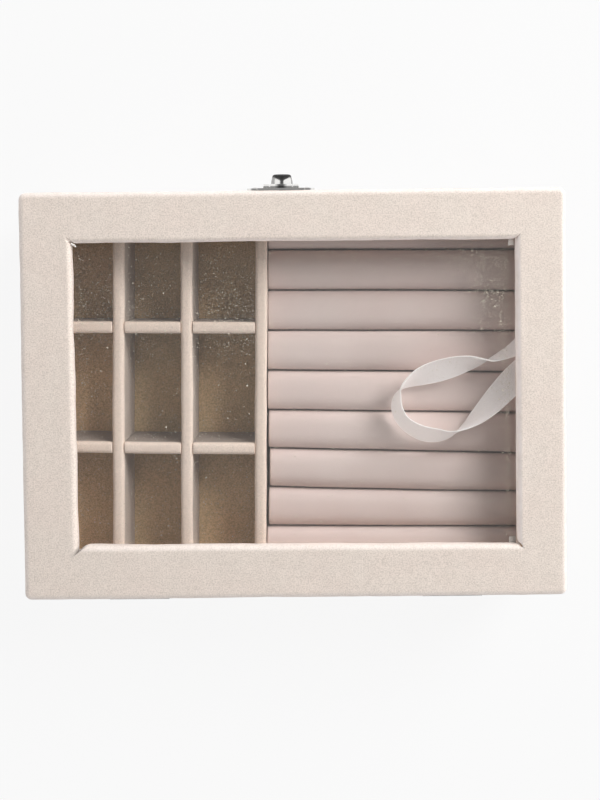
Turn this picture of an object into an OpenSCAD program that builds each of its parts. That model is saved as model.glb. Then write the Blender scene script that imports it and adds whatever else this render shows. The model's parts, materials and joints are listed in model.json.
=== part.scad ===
// Ring display box: a velvet-covered box with a glazed, hinged lid. Inside it are nine padded ring
// rolls on one side and nine small compartments on the other, and a ribbon stays the open lid.
// Millimetres. The origin is the middle of the underside, +Z is up and the latch faces -Y.

/* [Box] */
// Width of the box
box_w = 200; // [195:1:240]
// Depth of the box, front to rear
box_d = 150; // [140:1:180]
// Height of the body, up to its rim
body_h = 36; // [34:0.5:42]
// Height of the lid
lid_h = 13.7; // [13.5:0.1:18]
// Gap between the rim and the closed lid
lid_gap = 0.3; // [0.2:0.05:0.6]
// Radius of the upright corners
corner_r = 2.5; // [1.5:0.1:4]

/* [Body walls] */
// Thickness of the wall boards
board_t = 5; // [4:0.1:6]
// Thickness of the velvet covering
velvet_t = 0.5; // [0.3:0.05:0.8]
// Thickness of the lining panels
lining_t = 1.5; // [1:0.1:2.5]
// Thickness of the bottom board
bottom_t = 3; // [2:0.1:4]
// Thickness of the felt under the box
felt_t = 1; // [0.5:0.1:2]
// Distance of the felt from the edges of the underside
felt_inset = 2; // [1:0.5:6]
// Rounding along the rim
rim_r = 1.5; // [0.9:0.1:2.2]
// Drop of the lining's top edge below the rim
lining_drop = 1; // [0:0.5:3]

/* [Lid] */
// Width of the frame around the glass
frame_w = 20; // [18:0.5:26]
// Thickness of the frame bars
frame_t = 3.5; // [3:0.1:4]
// Rounding along the lid's top edge
lid_r = 2.2; // [1.2:0.1:3]
// Rounding along the window's edge
window_r = 2; // [1.2:0.1:3]
// Width of the velvet that is turned under the frame
flap_w = 6; // [4:0.5:7]
// Thickness of the glass
glass_t = 2; // [1.5:0.1:2.4]
// Gap around the glass
glass_gap = 0.3; // [0.1:0.1:0.8]
// Thickness of the strips that hold the glass
strip_t = 2; // [1:0.1:2.4]
// Width of the strips that hold the glass
strip_w = 13; // [11:0.5:14]

/* [Compartments] */
// Thickness of the dividers
divider_t = 4.5; // [3:0.1:5]
// Drop of the dividers' top edges below the rim
divider_drop = 2; // [1:0.5:6]
// Width of the column of compartments next to the wall
outer_cell_w = 23.8; // [18:0.1:26]
// Width of the middle column of compartments
middle_cell_w = 21.4; // [18:0.1:24]
// Play in the notches where dividers cross
notch_play = 0.1; // [0.05:0.05:0.3]

/* [Ring rolls] */
// Length of the bay that holds the ring rolls
roll_bay_w = 103; // [96:0.5:106]
// Height of a ring roll
roll_h = 21.5; // [16:0.5:23]
// Thickness of the board under the rolls
tray_t = 3; // [2:0.1:4]
// Gap around each roll
roll_gap = 0.3; // [0.2:0.1:0.6]

/* [Metalwork] */
// Thickness of the sheet metal
metal_t = 0.8; // [0.6:0.05:1]
// Radius of a nail's shank
nail_r = 0.5; // [0.4:0.05:0.7]
// Length of a nail under its head
nail_len = 4; // [3:0.5:5]
// Radius of a nail's head
nail_head_r = 1.3; // [1:0.1:1.6]
// Height of a nail's head
nail_head_h = 0.6; // [0.4:0.1:0.9]
// Distance of the nails from the ends of a plate
nail_edge = 3; // [2:0.1:3.5]
// Radial clearance of the pins
pin_fit = 0.05; // [0.02:0.01:0.1]
// Gap beside and behind the barrels
barrel_gap = 0.3; // [0.2:0.05:0.4]

/* [Hinges] */
// Distance of each hinge from the middle
hinge_x = 58; // [35:1:75]
// Width of a hinge
hinge_w = 22; // [18:1:28]
// Height of a hinge leaf
leaf_h = 8; // [6:0.5:9]
// Radius of the hinge barrel
hinge_barrel_r = 1.7; // [1.4:0.05:2]
// Radius of the hinge pin
hinge_pin_r = 0.8; // [0.6:0.05:1]

/* [Latch] */
// Distance of the latch from the middle, towards the compartments
latch_x = 4; // [-15:0.5:15]
// Width of the latch plate
latch_w = 25; // [22:0.5:30]
// Height of the latch plate
latch_h = 7; // [6:0.5:7.5]
// Height of the latch pin above the lid's lower edge
latch_pin_rise = 3.7; // [2.5:0.1:4]
// Radius of the latch barrel
latch_barrel_r = 1.3; // [1.1:0.05:1.5]
// Length of the latch barrel
latch_barrel_w = 13; // [12:0.5:15]
// Radius of the latch pin
latch_pin_r = 0.6; // [0.4:0.05:0.7]
// Width of the tongue
tongue_w = 8.4; // [7:0.1:9]
// Distance that the tongue's lip stands out of the front
tongue_reach = 7.8; // [6:0.1:9]
// Length of the tongue's straight part, below the pin
tongue_drop = 7; // [6:0.1:9]
// Radius of the tongue's rolled lip
lip_r = 0.7; // [0.5:0.05:0.9]
// Width of the strike plate
strike_w = 21; // [19:0.5:26]
// Height of the strike plate
strike_h = 10; // [8:0.5:12]
// Radius of the strike's nose
nose_r = 2; // [1.5:0.1:2.4]
// Height of the strike's nose
nose_h = 1.6; // [1:0.1:1.8]

/* [Ribbon] */
// Width of the ribbon
ribbon_w = 10; // [7:0.5:11]
// Thickness of the ribbon
ribbon_t = 0.3; // [0.2:0.05:0.5]

/* [Hidden] */
$fn = 48;
roll_count = 9;
cells_across = 3;
flare_angle = 75;
lobe_share = 0.38;
tongue_corner_r = 1.2;

wall_t = board_t + 2 * velvet_t + lining_t;
inner_w = box_w - 2 * wall_t;
inner_d = box_d - 2 * wall_t;
floor_z = felt_t + bottom_t;
lining_z = floor_z + lining_t;
box_h = body_h + lid_gap + lid_h;

lid_z = body_h + lid_gap;
frame_z = box_h - velvet_t - frame_t;
glass_z = frame_z - velvet_t - glass_t;
strip_z = glass_z - strip_t;
skirt_in = velvet_t + board_t;

divider_top = body_h - divider_drop;
separator_x = -inner_w / 2 + roll_bay_w + divider_t / 2;
long_1_x = inner_w / 2 - outer_cell_w - divider_t / 2;
long_2_x = long_1_x - middle_cell_w - divider_t;
cell_pitch = (inner_d + divider_t) / cells_across;
cross_y = cell_pitch / 2;
notch_z = (lining_z + divider_top) / 2;

roll_pitch = inner_d / roll_count;
roll_z = lining_z + tray_t;

hinge_z = body_h + lid_gap / 2;
hinge_out = hinge_barrel_r + barrel_gap;
leaf_edge = hinge_barrel_r + barrel_gap;
knuckle_w = hinge_w / 3;

latch_pin_z = lid_z + latch_pin_rise;
latch_pin_out = latch_barrel_r + barrel_gap;
latch_edge = latch_barrel_r + barrel_gap;
tongue_out = metal_t + barrel_gap + metal_t;
flare_r = (tongue_reach - lip_r - tongue_out) / (1 - cos(flare_angle));
tongue_tip_z = latch_pin_z - tongue_drop - flare_r * sin(flare_angle);
strike_z = tongue_tip_z - lip_r - strike_h / 2;
nose_z = tongue_tip_z + nose_r / 2;

latch_nails = [for (s = [-1, 1]) [latch_x + s * (latch_w / 2 - nail_edge), latch_pin_z + latch_edge + latch_h / 2]];
strike_nails = [for (s = [-1, 1]) [latch_x + s * (strike_w / 2 - nail_edge), strike_z + strike_h / 2]];
leaf_nail_z = leaf_edge + leaf_h / 2;
leaf_nail_x = [for (h = [-hinge_x, hinge_x], s = [-1, 1]) h + s * (hinge_w / 2 - nail_edge)];
leaf_nails_low = [for (x = leaf_nail_x) [x, hinge_z - leaf_nail_z]];
leaf_nails_high = [for (x = leaf_nail_x) [x, hinge_z + leaf_nail_z]];

// The ribbon's route from the lid to the body: the middle of the ribbon seen from above, measured
// from the inner face of the left wall and from the middle of the box, and its height above the rim.
// Lean is the share of half the width by which the upper edge lies to the left of the lower one.
// Its two ends lie flat along the wall, where they are glued: one to the lid and one to the lining.
ribbon_route = [
    // from wall, y, above rim, lean
    [-1.1, -19.5, 2.6, 0.95], [4.8, -17.8, 1.4, 0.80], [10.4, -15.1, 0.8, 0.50], [14.2, -13.6, 0.7, 0.20],
    [17.3, -12.5, 0.8, -0.10], [21.8, -11.3, 1.0, -0.40], [26.6, -10.0, 1.2, -0.62], [32.2, -8.4, 1.3, -0.80],
    [38.0, -6.9, 1.3, -0.86], [43.8, -5.3, 1.2, -0.78], [48.2, -3.4, 1.2, -0.54], [51.9, -0.9, 1.1, -0.24],
    [53.5, 1.9, 1.1, 0.10],
    [54.2, 4.9, 1.1, 0.28], [53.8, 7.9, 1.1, 0.38], [52.2, 11.5, 1.0, 0.46], [48.8, 14.8, 1.0, 0.56],
    [43.9, 17.5, 1.0, 0.62], [38.3, 18.4, 1.0, 0.50], [33.0, 17.6, 0.9, 0.22], [28.2, 15.0, 0.8, -0.10],
    [23.7, 11.5, 0.6, -0.42], [19.1, 7.6, 0.4, -0.64], [14.7, 3.6, 0.2, -0.78], [9.6, -1.2, -0.1, -0.86],
    [4.6, -6.0, -0.5, -0.92], [0.4, -9.8, -1.0, -0.95]];
ribbon_fold = 13;

FRONT = 0;
RIGHT = 1;
REAR = 2;
LEFT = 3;

velvet_colour = [0.86, 0.83, 0.77];
lining_colour = [0.80, 0.76, 0.70];
roll_colour = [0.80, 0.74, 0.70];
board_colour = [0.72, 0.58, 0.42];
metal_colour = [0.42, 0.42, 0.43];

// ---- shared shapes ----

// A rectangle with round corners
module soft_rect(w, d, r) {
    square([w - 2 * r, d], center = true);
    square([w, d - 2 * r], center = true);
    for (x = [-1, 1], y = [-1, 1])
        translate([x * (w / 2 - r), y * (d / 2 - r)]) circle(r);
}

// A wall's section, standing from z0 to z1 between u0 and u1, with its two top corners rounded
module rounded_section(u0, u1, z0, z1, r0, r1) {
    r = max(r0, r1);
    translate([u0, z0]) square([u1 - u0, z1 - z0 - r]);
    translate([u0 + r0, z0]) square([u1 - u0 - r0 - r1, z1 - z0]);
    translate([u0, z0]) square([r0, z1 - z0 - r0]);
    translate([u1 - r1, z0]) square([r1, z1 - z0 - r1]);
    translate([u0 + r0, z1 - r0]) circle(r0);
    translate([u1 - r1, z1 - r1]) circle(r1);
}

// Carries a section along one side of the box and mitres its ends. The section's first axis runs
// inwards from the outer face and its second axis runs up.
module run(side, mitre_w) {
    along = side % 2 == 0 ? box_w : box_d;
    across = side % 2 == 0 ? box_d : box_w;
    rotate([0, 0, 90 * side]) intersection() {
        translate([-along / 2, -across / 2, 0]) rotate([90, 0, 90]) linear_extrude(along) children();
        linear_extrude(box_h) polygon([[-along / 2, -across / 2], [along / 2, -across / 2],
            [along / 2 - mitre_w, -across / 2 + mitre_w], [-along / 2 + mitre_w, -across / 2 + mitre_w]]);
    }
}

// Carries a section all the way round the box
module all_round(mitre_w) {
    for (side = [FRONT, RIGHT, REAR, LEFT]) run(side, mitre_w) children();
}

// Rounds the upright corners of what stands inset from the outer faces
module soft_corners(inset) {
    intersection() {
        children();
        linear_extrude(box_h) soft_rect(box_w - 2 * inset, box_d - 2 * inset, corner_r - inset);
    }
}

// A spherical cap that stands on z = 0
module dome(r, h) {
    ball_r = (r * r + h * h) / (2 * h);
    intersection() {
        translate([0, 0, h - ball_r]) sphere(ball_r);
        cylinder(h = h, r = r);
    }
}

// A rod along X between x0 and x1
module rod(x0, x1, r) {
    translate([x0, 0, 0]) rotate([0, 90, 0]) cylinder(h = x1 - x0, r = r);
}

module on_front(x, z) {
    translate([x, -box_d / 2, z]) children();
}

module on_rear(x, z) {
    translate([x, box_d / 2, z]) rotate([0, 0, 180]) children();
}

module nail_shank() {
    translate([0, -metal_t, 0]) rotate([-90, 0, 0]) cylinder(h = nail_len, r = nail_r);
}

module nail() {
    nail_shank();
    translate([0, -metal_t, 0]) rotate([90, 0, 0]) dome(nail_head_r, nail_head_h);
}

module front_shanks(places) {
    for (p = places) on_front(p.x, p.y) nail_shank();
}

module rear_shanks(places) {
    for (p = places) on_rear(p.x, p.y) nail_shank();
}

// ---- body ----

module base_felt() {
    color([0.30, 0.28, 0.26]) linear_extrude(felt_t)
        soft_rect(box_w - 2 * felt_inset, box_d - 2 * felt_inset, corner_r);
}

module bottom_board() {
    color(board_colour) translate([0, 0, felt_t]) linear_extrude(bottom_t)
        soft_rect(box_w - 2 * velvet_t, box_d - 2 * velvet_t, corner_r - velvet_t);
}

module board_section() {
    rounded_section(velvet_t, velvet_t + board_t, floor_z, body_h - velvet_t, rim_r - velvet_t, rim_r - velvet_t);
}

module wall_board(side) {
    color(board_colour) difference() {
        soft_corners(velvet_t) run(side, wall_t) board_section();
        if (side == FRONT) front_shanks(strike_nails);
        if (side == REAR) rear_shanks(leaf_nails_low);
    }
}

module body_velvet() {
    color(velvet_colour) difference() {
        soft_corners(0) all_round(wall_t)
            rounded_section(0, 2 * velvet_t + board_t, felt_t, body_h, rim_r, rim_r);
        soft_corners(velvet_t) all_round(wall_t) board_section();
        translate([0, 0, felt_t]) linear_extrude(bottom_t)
            soft_rect(box_w - 2 * velvet_t, box_d - 2 * velvet_t, corner_r - velvet_t);
        front_shanks(strike_nails);
        rear_shanks(leaf_nails_low);
    }
}

module floor_lining() {
    color(lining_colour) translate([0, 0, floor_z]) linear_extrude(lining_t)
        square([inner_w + 2 * lining_t, inner_d + 2 * lining_t], center = true);
}

module wall_lining(side) {
    color(lining_colour) run(side, wall_t) translate([wall_t - lining_t, lining_z])
        square([lining_t, body_h - lining_drop - lining_z]);
}

// A divider's section across its thickness, with a round top edge
module divider_section() {
    r = divider_t / 2;
    translate([-r, lining_z]) square([divider_t, divider_top - r - lining_z]);
    translate([0, divider_top - r]) circle(r);
}

module divider_across_depth(x) {
    translate([x, inner_d / 2, 0]) rotate([90, 0, 0]) linear_extrude(inner_d) divider_section();
}

module separator() {
    color(lining_colour) divider_across_depth(separator_x);
}

// The long dividers keep their top half at a crossing and the cross dividers their bottom half
module long_divider(x) {
    color(lining_colour) difference() {
        divider_across_depth(x);
        for (y = [-cross_y, cross_y])
            translate([x - divider_t, y - divider_t / 2 - notch_play, lining_z])
                cube([2 * divider_t, divider_t + 2 * notch_play, notch_z - lining_z]);
    }
}

module cross_divider(y) {
    x0 = separator_x + divider_t / 2;
    color(lining_colour) difference() {
        translate([x0, y, 0]) rotate([90, 0, 90]) linear_extrude(inner_w / 2 - x0) divider_section();
        for (x = [long_1_x, long_2_x])
            translate([x - divider_t / 2 - notch_play, y - divider_t, notch_z])
                cube([divider_t + 2 * notch_play, 2 * divider_t, divider_top - notch_z]);
    }
}

module roll_tray() {
    color(lining_colour) translate([-inner_w / 2, -inner_d / 2, lining_z]) cube([roll_bay_w, inner_d, tray_t]);
}

// A padded roll: straight sides and a round crown, number 1 at the front
module ring_roll(number) {
    r = (roll_pitch - roll_gap) / 2;
    y = -inner_d / 2 + (number - 0.5) * roll_pitch;
    color(roll_colour) translate([-inner_w / 2 + roll_gap, y, roll_z]) rotate([90, 0, 90])
        linear_extrude(roll_bay_w - 2 * roll_gap) {
            translate([-r, 0]) square([2 * r, roll_h - r]);
            translate([0, roll_h - r]) circle(r);
        }
}

// ---- hinges ----

// A leaf seen from behind: the plate, its tabs and its knuckles, without the bore. Its way up is 1 for
// the lid's leaf, which has the two outer knuckles, and -1 for the body's leaf, which has the middle one.
module leaf_shape(way_up) {
    spans = way_up > 0 ? [[-hinge_w / 2, -knuckle_w / 2], [knuckle_w / 2, hinge_w / 2]]
        : [[-knuckle_w / 2 + barrel_gap, knuckle_w / 2 - barrel_gap]];
    plate_z = way_up > 0 ? leaf_edge : -leaf_edge - leaf_h;
    tab_z = way_up > 0 ? 0 : -leaf_edge - metal_t;
    translate([-hinge_w / 2, -metal_t, plate_z]) cube([hinge_w, metal_t, leaf_h]);
    for (s = spans) {
        translate([s[0], -metal_t, tab_z]) cube([s[1] - s[0], metal_t, leaf_edge + metal_t]);
        translate([0, -hinge_out, 0]) rod(s[0], s[1], hinge_barrel_r);
    }
}

module hinge_leaf(x, way_up) {
    color(metal_colour) difference() {
        on_rear(x, hinge_z) difference() {
            leaf_shape(way_up);
            translate([0, -hinge_out, 0]) rod(-hinge_w, hinge_w, hinge_pin_r + pin_fit);
        }
        rear_shanks(way_up > 0 ? leaf_nails_high : leaf_nails_low);
    }
}

module hinge_pin(x) {
    half = hinge_w / 2 + pin_fit;
    color(metal_colour) on_rear(x, hinge_z) translate([0, -hinge_out, 0]) {
        rod(-half, half, hinge_pin_r);
        for (s = [-1, 1]) translate([s * half, 0, 0]) rotate([0, 90 * s, 0]) dome(hinge_pin_r + 2 * pin_fit, hinge_pin_r / 2);
    }
}

module rear_nails(places) {
    color(metal_colour) for (p = places) on_rear(p.x, p.y) nail();
}

// ---- latch ----

module front_nails(places) {
    color(metal_colour) for (p = places) on_front(p.x, p.y) nail();
}

// A thin plate with a round lobe at each end, standing on z = 0
module lobed_plate(w, h) {
    lobe_r = h * lobe_share;
    rotate([90, 0, 0]) linear_extrude(metal_t) {
        translate([0, h / 2]) square([w - 3 * lobe_r, h], center = true);
        for (s = [-1, 1]) translate([s * (w / 2 - lobe_r), h / 2]) circle(lobe_r);
        translate([0, h / 2]) square([w - 2 * lobe_r, h * lobe_share], center = true);
    }
}

module latch_plate() {
    outer = latch_barrel_w / 2;
    inner = tongue_w / 2 + barrel_gap;
    color(metal_colour) difference() {
        on_front(latch_x, latch_pin_z) difference() {
            union() {
                translate([0, 0, latch_edge]) lobed_plate(latch_w, latch_h);
                for (s = [[-outer, -inner], [inner, outer]]) {
                    translate([s[0], -metal_t, 0]) cube([s[1] - s[0], metal_t, latch_edge + metal_t]);
                    translate([0, -latch_pin_out, 0]) rod(s[0], s[1], latch_barrel_r);
                }
            }
            translate([0, -latch_pin_out, 0]) rod(-latch_w, latch_w, latch_pin_r + pin_fit);
        }
        front_shanks(latch_nails);
    }
}

module latch_pin() {
    half = latch_barrel_w / 2 + pin_fit;
    color(metal_colour) on_front(latch_x, latch_pin_z) translate([0, -latch_pin_out, 0]) {
        rod(-half, half, latch_pin_r);
        for (s = [-1, 1]) translate([s * half, 0, 0]) rotate([0, 90 * s, 0]) dome(latch_pin_r + 2 * pin_fit, latch_pin_r / 2);
    }
}

// The tongue's section: a straight part below the pin that flares outwards to a rolled lip
module tongue_section() {
    translate([-tongue_out - metal_t / 2, -tongue_drop]) square([metal_t, tongue_drop]);
    translate([-tongue_out - flare_r, -tongue_drop]) {
        intersection() {
            difference() {
                circle(flare_r + metal_t / 2);
                circle(flare_r - metal_t / 2);
            }
            polygon([[0, 0], [2 * flare_r, 0], [2 * flare_r, -2 * flare_r],
                2 * flare_r * [cos(flare_angle), -sin(flare_angle)]]);
        }
        translate(flare_r * [cos(flare_angle), -sin(flare_angle)]) circle(lip_r);
    }
}

module latch_tongue() {
    color(metal_colour) on_front(latch_x, latch_pin_z) difference() {
        union() {
            intersection() {
                translate([-tongue_w / 2, 0, 0]) rotate([90, 0, 90]) linear_extrude(tongue_w) tongue_section();
                translate([0, 0, -box_h]) linear_extrude(box_h)
                    soft_rect(tongue_w, 2 * tongue_reach, tongue_corner_r);
            }
            translate([0, -latch_pin_out, 0]) rod(-tongue_w / 2, tongue_w / 2, latch_barrel_r);
        }
        translate([0, -latch_pin_out, 0]) rod(-tongue_w, tongue_w, latch_pin_r + pin_fit);
    }
}

module strike_plate() {
    color(metal_colour) difference() {
        union() {
            on_front(latch_x, strike_z) lobed_plate(strike_w, strike_h);
            on_front(latch_x, nose_z - nose_r) translate([0, -metal_t, 0]) rotate([90, 0, 0]) dome(nose_r, nose_h);
        }
        front_shanks(strike_nails);
    }
}

// ---- lid ----

module skirt_section() {
    translate([velvet_t, lid_z + velvet_t]) square([board_t, frame_z - lid_z - velvet_t]);
}

module lid_skirt(side) {
    color(board_colour) difference() {
        soft_corners(velvet_t) run(side, frame_w) skirt_section();
        if (side == FRONT) front_shanks(latch_nails);
        if (side == REAR) rear_shanks(leaf_nails_high);
    }
}

module bar_section() {
    rounded_section(velvet_t, frame_w - velvet_t, frame_z, frame_z + frame_t, lid_r - velvet_t, window_r - velvet_t);
}

module lid_bar(side) {
    color(board_colour) soft_corners(velvet_t) run(side, frame_w) bar_section();
}

// The velvet covers the skirts on both sides, the top of the frame and the window's edge, and is
// turned under the frame
module lid_velvet_section() {
    difference() {
        union() {
            translate([0, lid_z]) square([skirt_in + velvet_t, strip_z - lid_z]);
            translate([0, lid_z]) square([skirt_in, frame_z - lid_z]);
            rounded_section(0, frame_w, frame_z - velvet_t, box_h, lid_r, window_r);
        }
        translate([skirt_in, frame_z - velvet_t]) square([frame_w - flap_w - skirt_in, velvet_t]);
    }
}

module lid_velvet() {
    color(velvet_colour) difference() {
        soft_corners(0) all_round(frame_w) lid_velvet_section();
        soft_corners(velvet_t) all_round(frame_w) {
            skirt_section();
            bar_section();
        }
        front_shanks(latch_nails);
        rear_shanks(leaf_nails_high);
    }
}

module glass_pane() {
    inset = skirt_in + glass_gap;
    color([0.85, 0.92, 0.92, 0.3]) translate([0, 0, glass_z]) linear_extrude(glass_t)
        square([box_w - 2 * inset, box_d - 2 * inset], center = true);
}

module glass_strip(side) {
    color(lining_colour) run(side, frame_w) translate([skirt_in, strip_z]) square([strip_w, strip_t]);
}

// ---- ribbon ----

function route_point(i) = [-inner_w / 2 + ribbon_route[i][0], ribbon_route[i][1], body_h + ribbon_route[i][2]];
// The way along the route at a station, seen from above: square to the wall at both ends
function route_way(i) = i == 0 ? [1, 0] : i == len(ribbon_route) - 1 ? [-1, 0]
    : let (d = route_point(i + 1) - route_point(i - 1)) [d.x, d.y] / norm([d.x, d.y]);
// The half width at a station: it leans by the share and stands up by what is left
function half_width(i) = let (lean = ribbon_route[i][3], way = route_way(i))
    ribbon_w / 2 * [-way.y * lean, way.x * lean, sqrt(1 - lean * lean)];
function face_way(i) = let (way = route_way(i), n = cross([way.x, way.y, 0], half_width(i))) n / norm(n);
function ribbon_ring(i) = let (c = route_point(i), h = half_width(i), n = face_way(i) * ribbon_t / 2)
    [c + h + n, c - h + n, c - h - n, c + h - n];

// A thin strip between two stations of the route. Both of its faces are cut along the same diagonal,
// so that it keeps its thickness where it twists.
module ribbon_run(first, last) {
    rings = last - first + 1;
    points = [for (i = [first:last]) each ribbon_ring(i)];
    sides = [for (k = [0:rings - 2], j = [0:3]) let (a = 4 * k + j, b = 4 * k + (j + 1) % 4)
        each j < 2 ? [[a, b + 4, b], [a, a + 4, b + 4]] : [[a, a + 4, b], [b, a + 4, b + 4]]];
    ends = [[0, 1, 2], [0, 2, 3], 4 * (rings - 1) * [1, 1, 1] + [0, 2, 1], 4 * (rings - 1) * [1, 1, 1] + [0, 3, 2]];
    color([0.93, 0.93, 0.93]) polyhedron(points, concat(sides, ends), convexity = 6);
}

base_felt();
bottom_board();
wall_board(FRONT);  // front_board
wall_board(RIGHT);  // right_board
wall_board(REAR);  // rear_board
wall_board(LEFT);  // left_board
body_velvet();
floor_lining();
wall_lining(FRONT);  // front_lining
wall_lining(RIGHT);  // right_lining
wall_lining(REAR);  // rear_lining
wall_lining(LEFT);  // left_lining
separator();
long_divider(long_1_x);  // long_divider_outer
long_divider(long_2_x);  // long_divider_inner
cross_divider(-cross_y);  // cross_divider_front
cross_divider(cross_y);  // cross_divider_rear
roll_tray();
for (number = [1:roll_count]) ring_roll(number);
hinge_leaf(-hinge_x, -1);  // hinge_leaf_body_left
hinge_leaf(hinge_x, -1);  // hinge_leaf_body_right
hinge_pin(-hinge_x);  // hinge_pin_left
hinge_pin(hinge_x);  // hinge_pin_right
rear_nails(leaf_nails_low);  // hinge_nails_body
strike_plate();
front_nails(strike_nails);
lid_skirt(FRONT);  // lid_skirt_front
lid_skirt(RIGHT);  // lid_skirt_right
lid_skirt(REAR);  // lid_skirt_rear
lid_skirt(LEFT);  // lid_skirt_left
lid_bar(FRONT);  // lid_bar_front
lid_bar(RIGHT);  // lid_bar_right
lid_bar(REAR);  // lid_bar_rear
lid_bar(LEFT);  // lid_bar_left
lid_velvet();
glass_pane();
glass_strip(FRONT);  // glass_strip_front
glass_strip(RIGHT);  // glass_strip_right
glass_strip(REAR);  // glass_strip_rear
glass_strip(LEFT);  // glass_strip_left
hinge_leaf(-hinge_x, 1);  // hinge_leaf_lid_left
hinge_leaf(hinge_x, 1);  // hinge_leaf_lid_right
rear_nails(leaf_nails_high);  // hinge_nails_lid
latch_plate();
latch_pin();
front_nails(latch_nails);
latch_tongue();
ribbon_run(ribbon_fold, len(ribbon_route) - 1);  // ribbon_body_run
ribbon_run(0, ribbon_fold);  // ribbon_lid_run
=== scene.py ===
"""Dresses the ring display box: velvet covers, linings, padded rolls, ribbon, glass and metalwork."""

import functools
import json
import math

import bmesh
import bpy
import numpy as np
from bpy.props import FloatProperty, FloatVectorProperty, IntProperty, PointerProperty
from bpy.types import Operator, Panel, PropertyGroup
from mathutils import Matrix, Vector


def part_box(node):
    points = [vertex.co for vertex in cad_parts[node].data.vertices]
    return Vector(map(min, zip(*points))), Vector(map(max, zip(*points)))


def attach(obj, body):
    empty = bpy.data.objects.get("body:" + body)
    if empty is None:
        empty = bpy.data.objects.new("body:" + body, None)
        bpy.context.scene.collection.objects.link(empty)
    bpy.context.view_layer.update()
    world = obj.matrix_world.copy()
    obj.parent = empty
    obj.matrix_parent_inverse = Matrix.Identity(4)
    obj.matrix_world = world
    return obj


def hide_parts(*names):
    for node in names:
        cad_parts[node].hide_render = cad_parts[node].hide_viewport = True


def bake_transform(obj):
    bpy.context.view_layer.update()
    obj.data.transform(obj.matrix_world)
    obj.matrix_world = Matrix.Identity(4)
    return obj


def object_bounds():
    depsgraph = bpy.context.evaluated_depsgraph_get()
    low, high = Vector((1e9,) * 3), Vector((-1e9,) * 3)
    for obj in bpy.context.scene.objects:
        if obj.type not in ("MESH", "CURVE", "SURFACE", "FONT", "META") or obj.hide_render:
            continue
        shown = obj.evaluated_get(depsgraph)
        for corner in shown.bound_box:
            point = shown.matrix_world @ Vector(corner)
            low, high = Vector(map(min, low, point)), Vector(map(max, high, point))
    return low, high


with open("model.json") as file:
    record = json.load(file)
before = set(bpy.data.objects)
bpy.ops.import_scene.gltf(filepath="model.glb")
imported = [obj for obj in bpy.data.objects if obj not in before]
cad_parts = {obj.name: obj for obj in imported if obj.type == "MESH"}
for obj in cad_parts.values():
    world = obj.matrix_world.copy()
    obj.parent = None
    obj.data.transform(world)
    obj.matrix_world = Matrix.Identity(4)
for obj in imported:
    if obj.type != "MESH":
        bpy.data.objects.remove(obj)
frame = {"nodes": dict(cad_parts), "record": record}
CAD_BOX = [list(corner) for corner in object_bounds()]

bl_info = {
    "name": "Ring display box",
    "version": (1, 0, 0),
    "blender": (4, 5, 0),
    "location": "View3D > Sidebar > Ring box",
    "description": "Velvet covers, padded rolls, ribbon, glass and metalwork for a ring display box",
    "category": "Object",
}

MM = 0.001
SIDES = ("front", "right", "rear", "left")
FRONT, RIGHT, REAR, LEFT = range(4)
WAYS = np.array([[0, -1], [1, 0], [0, 1], [-1, 0]], float)  # outwards from each side
CORNER = 2.5 * MM  # radius of the box's upright corners
INSIDE = 67.5  # half the depth between the wall linings, in millimetres
ROLLS = 9
ROLL_PITCH = 2 * INSIDE / ROLLS

# A piece's points closer than this are merged, its edges shorter than this are dissolved, and its edges
# sharper than this stay sharp
MERGE, SLIVER, SHARP = 2e-6, 1e-7, math.radians(50)


# ---- shapes ----


def unit(vectors):
    """Vectors brought to length 1."""
    return vectors / np.linalg.norm(vectors, axis=-1, keepdims=True)


def band(near, far, low, high):
    """The corners of a rectangular section between two insets in millimetres and two heights."""
    return [[near * MM, low], [near * MM, high], [far * MM, high], [far * MM, low]]


def rounded_outline(corners, radii, step):
    """Points round a closed outline with right-angled corners. Each corner is cut back by its radius on
    both sides and replaced by a quarter circle, and the straights are divided into equal steps."""
    corners = np.asarray(corners, float)
    arcs = []
    for k, (here, radius) in enumerate(zip(corners, radii)):
        back, onward = unit(corners[k - 1] - here), unit(corners[(k + 1) % len(corners)] - here)
        angles = np.linspace(0, np.pi / 2, 8)[:, None] if radius > 0 else np.zeros((1, 1))
        arcs.append(here + radius * (back + onward) - radius * (onward * np.cos(angles) + back * np.sin(angles)))
    outline = []
    for k, arc in enumerate(arcs):
        start, end = arc[-1], arcs[(k + 1) % len(arcs)][0]
        pieces = max(1, int(np.linalg.norm(end - start) / step))
        outline += [arc, start + np.arange(1, pieces)[:, None] / pieces * (end - start)]
    return np.vstack(outline)


def grid_faces(rows, columns, close_rows=False, close_columns=False):
    """The quads of a grid of points numbered row by row. A closed direction joins its last line to its
    first one."""
    r = np.arange(rows if close_rows else rows - 1)[:, None]
    c = np.arange(columns if close_columns else columns - 1)[None, :]
    r1, c1 = (r + 1) % rows, (c + 1) % columns
    return np.stack([r * columns + c, r1 * columns + c, r1 * columns + c1, r * columns + c1], -1).reshape(-1, 4)


def ring_faces(points):
    """The quads of a closed section carried round a loop."""
    return grid_faces(*points.shape[:2], True, True)


def tube_faces(points):
    """The quads of a closed section carried along a line."""
    return grid_faces(*points.shape[:2], False, True)


def strip_faces(rows, columns):
    """The quads of a strip whose section runs along its upper side and back along its lower one, and
    those across its two ends."""
    across = np.array([[k, k + 1, columns - 2 - k, columns - 1 - k] for k in range(columns // 2 - 1)])
    return np.vstack([grid_faces(rows, columns, False, True), across[:, ::-1], across + (rows - 1) * columns])


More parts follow.
